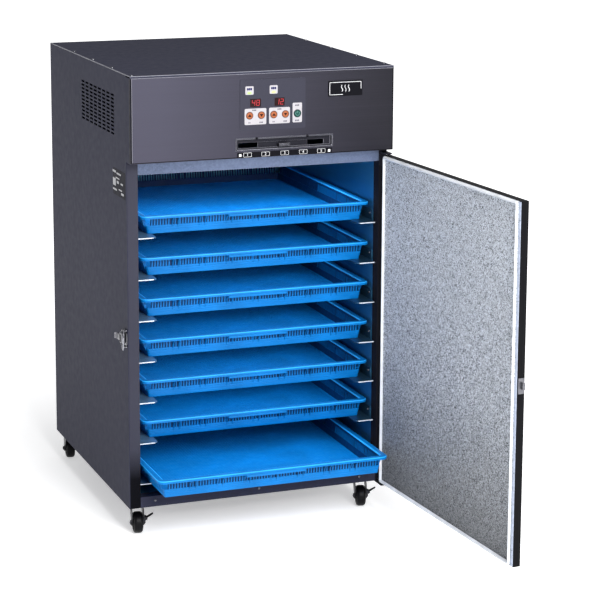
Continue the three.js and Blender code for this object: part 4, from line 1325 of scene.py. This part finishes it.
WHEEL_SECTION = [(3.5, -12), *[(r, -h) for r, h in WHEEL_HALF], *reversed(WHEEL_HALF), (3.5, 12)]
TAB_OUTLINE = [(-20, -3.2), (-18.4, -4.6), (-2.6, -6.4), (-2.6, 6.4), (-18.4, 4.6), (-20, 3.2)]


def both_sides(low, high):
    """The same range on either side of the wheel, as (low, high)."""
    return [(-high, -low), (low, high)]


def caster_fork(corner, local, brake):
    """Pressed-steel swivel fork with its axle, and in front the ears of the side brake."""
    axle = (TRAIL, AXLE_Z)
    fork = Shape()
    fork.lathe(SWIVEL_SECTION, segments=40, matrix=local)
    for side in both_sides(LEG_INNER, LEG_INNER + 2):
        fork.prism(LEG_OUTLINE, *side, "x", matrix=local)
    fork.prism([(-14.5, -11.5), (14.5, -11.5), (14.5, -14.2), (-14.5, -14.2)], -14, 14, "y", matrix=local)
    fork.disc(3.0, -18.6, 18.6, axle, "x", 20, 0.8, local)
    for nut, washer in zip(both_sides(14.5, 17.4), both_sides(14.5, 15.2)):
        fork.disc(5.4, *nut, axle, "x", 6, matrix=local)
        fork.disc(7.4, *washer, axle, "x", 28, matrix=local)
    if brake:
        for y in (TRAIL - 9.2, TRAIL + 7.2):
            fork.prism(EAR_OUTLINE, y, y + 2.0, "y", matrix=local)
        fork.disc(1.6, TRAIL - 10.0, TRAIL + 10.0, (EAR_X, EAR_Z), "y", 16, matrix=local)
    hidden = [f"{corner}_caster_fork"]
    place(f"{corner}_pressed_fork", fork, [caster_zinc], f"{corner}_caster", hidden, 0.45)


def caster_wheel(corner, local):
    """Moulded wheel with six spokes on either face."""
    wheel = Shape()
    wheel.lathe(WHEEL_SECTION, (0, TRAIL, AXLE_Z), "x", 48, matrix=local)
    for spoke in range(6):
        turn = Matrix.Translation((0, TRAIL, AXLE_Z)) @ Matrix.Rotation(math.radians(60 * spoke), 4, "X")
        for side in both_sides(8.8, 10.4):
            wheel.box(side, (8.2, 18.0), (-0.9, 0.9), matrix=local @ turn)
    hidden = [f"{corner}_caster_wheel"]
    place(f"{corner}_moulded_wheel", wheel, [wheel_black], f"{corner}_wheel", hidden, smooth=45)


def brake_tab(corner, local):
    """Ribbed pedal on its barrel, pointing up and away from the wheel."""
    barrel = [(1.9, -6.7), (3.1, -6.7), (3.4, -6.2), (3.4, 6.2), (3.1, 6.7), (1.9, 6.7)]
    pedal = Shape()
    pedal.lathe(barrel, (EAR_X, TRAIL, EAR_Z), "y", 24, matrix=local)
    rise = local @ Matrix.Translation((EAR_X, TRAIL, EAR_Z)) @ Matrix.Rotation(math.radians(30), 4, "Y")
    pedal.prism(TAB_OUTLINE, -0.7, 0.7, matrix=rise)
    for step in range(4):
        x = -17.2 + step * 2.4
        pedal.box((x, x + 0.9), (-4.2, 4.2), (0.6, 1.2), matrix=rise)
    hidden = [f"{corner}_brake_pedal"]
    place(f"{corner}_brake_tab", pedal, [pedal_black], f"{corner}_brake", hidden, 0.3)


for corner in ("front_left", "front_right", "rear_left", "rear_right"):
    axle_way = joint_named(f"{corner}_roll")["axis"]
    corner_frame = upright_frame(f"{corner}_swivel", math.degrees(math.atan2(axle_way[1], axle_way[0])))
    has_brake = corner.startswith("front")
    caster_fork(corner, corner_frame, has_brake)
    caster_wheel(corner, corner_frame)
    if has_brake:
        brake_tab(corner, corner_frame)


# ---- studio ------------------------------------------------------------------------------------
SOFTBOXES = {
    "key_light": ((0.1, -3.9, 2.5), (0, -0.2, 0.4), 1.8, 190),
    "left_fill": ((-3.6, -1.8, 1.9), (-0.3, 0, 0.5), 2.0, 12),
    "front_low": ((0.25, -2.6, 0.9), (0, 0, 0.6), 0.8, 8),
    "top_light": ((0.2, -1.4, 4.0), (0, -0.2, 0.6), 2.2, 50),
}
TRAY_FILL_SIZE, TRAY_FILL_POWER, TOP_FILL_POWER = (0.5, 0.24), 0.55, 1.4


def area_light(name, spot, target, size, power):
    light = bpy.data.lights.new(name, "AREA")
    light.size = size
    light.energy = power
    lamp = add_object(name, light)
    lamp.location = spot
    lamp.rotation_euler = (Vector(target) - Vector(spot)).to_track_quat("-Z", "Y").to_euler()
    lamp.visible_camera = False
    return lamp


def pale_floor():
    """White paper that brightens away from the object until it meets the backdrop."""
    bpy.ops.mesh.primitive_plane_add(size=30, location=(0, 0, cad_box[0][2]))
    floor = bpy.context.object
    floor.name = "studio_floor"
    paper = Look("studio_paper", (0.92, 0.92, 0.92), 0.9)
    paper.paint(paper.tint(paper.noise(2.0), 0.99, 1.01))
    away = paper.node("ShaderNodeVectorMath", operation="LENGTH")
    paper.link(paper.coordinates, away.inputs[0])
    paper.set(paper.shader, "Emission Color", (1, 1, 1, 1))
    glow = paper.spread(away.outputs["Value"], 0.4, 1.0, 0.2, 2.2)
    paper.link(glow, paper.shader.inputs["Emission Strength"])
    floor.data.materials.append(paper.material)


def backdrop():
    """Soft even light all round, seen by the camera as plain white."""
    world = bpy.data.worlds.new("studio")
    world.use_nodes = True
    tree = world.node_tree
    soft = tree.nodes["Background"]
    soft.inputs["Color"].default_value = (0.96, 0.97, 1.0, 1)
    soft.inputs["Strength"].default_value = 0.34
    white = tree.nodes.new("ShaderNodeBackground")
    white.inputs["Color"].default_value = (1, 1, 1, 1)
    mix = tree.nodes.new("ShaderNodeMixShader")
    tree.links.new(tree.nodes.new("ShaderNodeLightPath").outputs["Is Camera Ray"], mix.inputs["Fac"])
    tree.links.new(soft.outputs["Background"], mix.inputs[1])
    tree.links.new(white.outputs["Background"], mix.inputs[2])
    tree.links.new(mix.outputs["Shader"], tree.nodes["World Output"].inputs["Surface"])
    bpy.context.scene.world = world


def lights():
    """Large softboxes, and a small light just above the front half of each tray."""
    for name, settings in SOFTBOXES.items():
        area_light(name, *settings)
    for tray in TRAYS:
        low, high = corner_box(tray)
        spot = (0.0, low[1] * MM + 0.14, high[2] * MM + 0.045)
        power = TOP_FILL_POWER if tray == TRAYS[0] else TRAY_FILL_POWER
        lamp = area_light(f"{tray}_fill", spot, (spot[0], spot[1], 0.0), TRAY_FILL_SIZE[0], power)
        lamp.data.shape = "RECTANGLE"
        lamp.data.size_y = TRAY_FILL_SIZE[1]
        lamp.visible_glossy = False


def camera():
    """The reference viewing angle: from the front left, a little above the cabinet."""
    yaw, pitch, roll = math.radians(-20.854), math.radians(10.565), math.radians(0.254)
    ahead = Vector((-math.sin(yaw) * math.cos(pitch), math.cos(yaw) * math.cos(pitch), -math.sin(pitch)))
    level = Vector((math.cos(yaw), math.sin(yaw), 0))
    upright = level.cross(ahead)
    right = math.cos(roll) * level + math.sin(roll) * upright
    up = -math.sin(roll) * level + math.cos(roll) * upright
    data = bpy.data.cameras.new("camera")
    data.sensor_width = 36.0
    data.lens = 128.84
    data.shift_y = -0.1695
    viewer = add_object("camera", data)
    basis = Matrix((right, up, -ahead)).transposed().to_4x4()
    viewer.matrix_world = Matrix.Translation((-1.6066, -4.777, 1.5934)) @ basis
    bpy.context.scene.camera = viewer


pale_floor()
backdrop()
lights()
camera()
bpy.context.scene.view_settings.view_transform = "Standard"
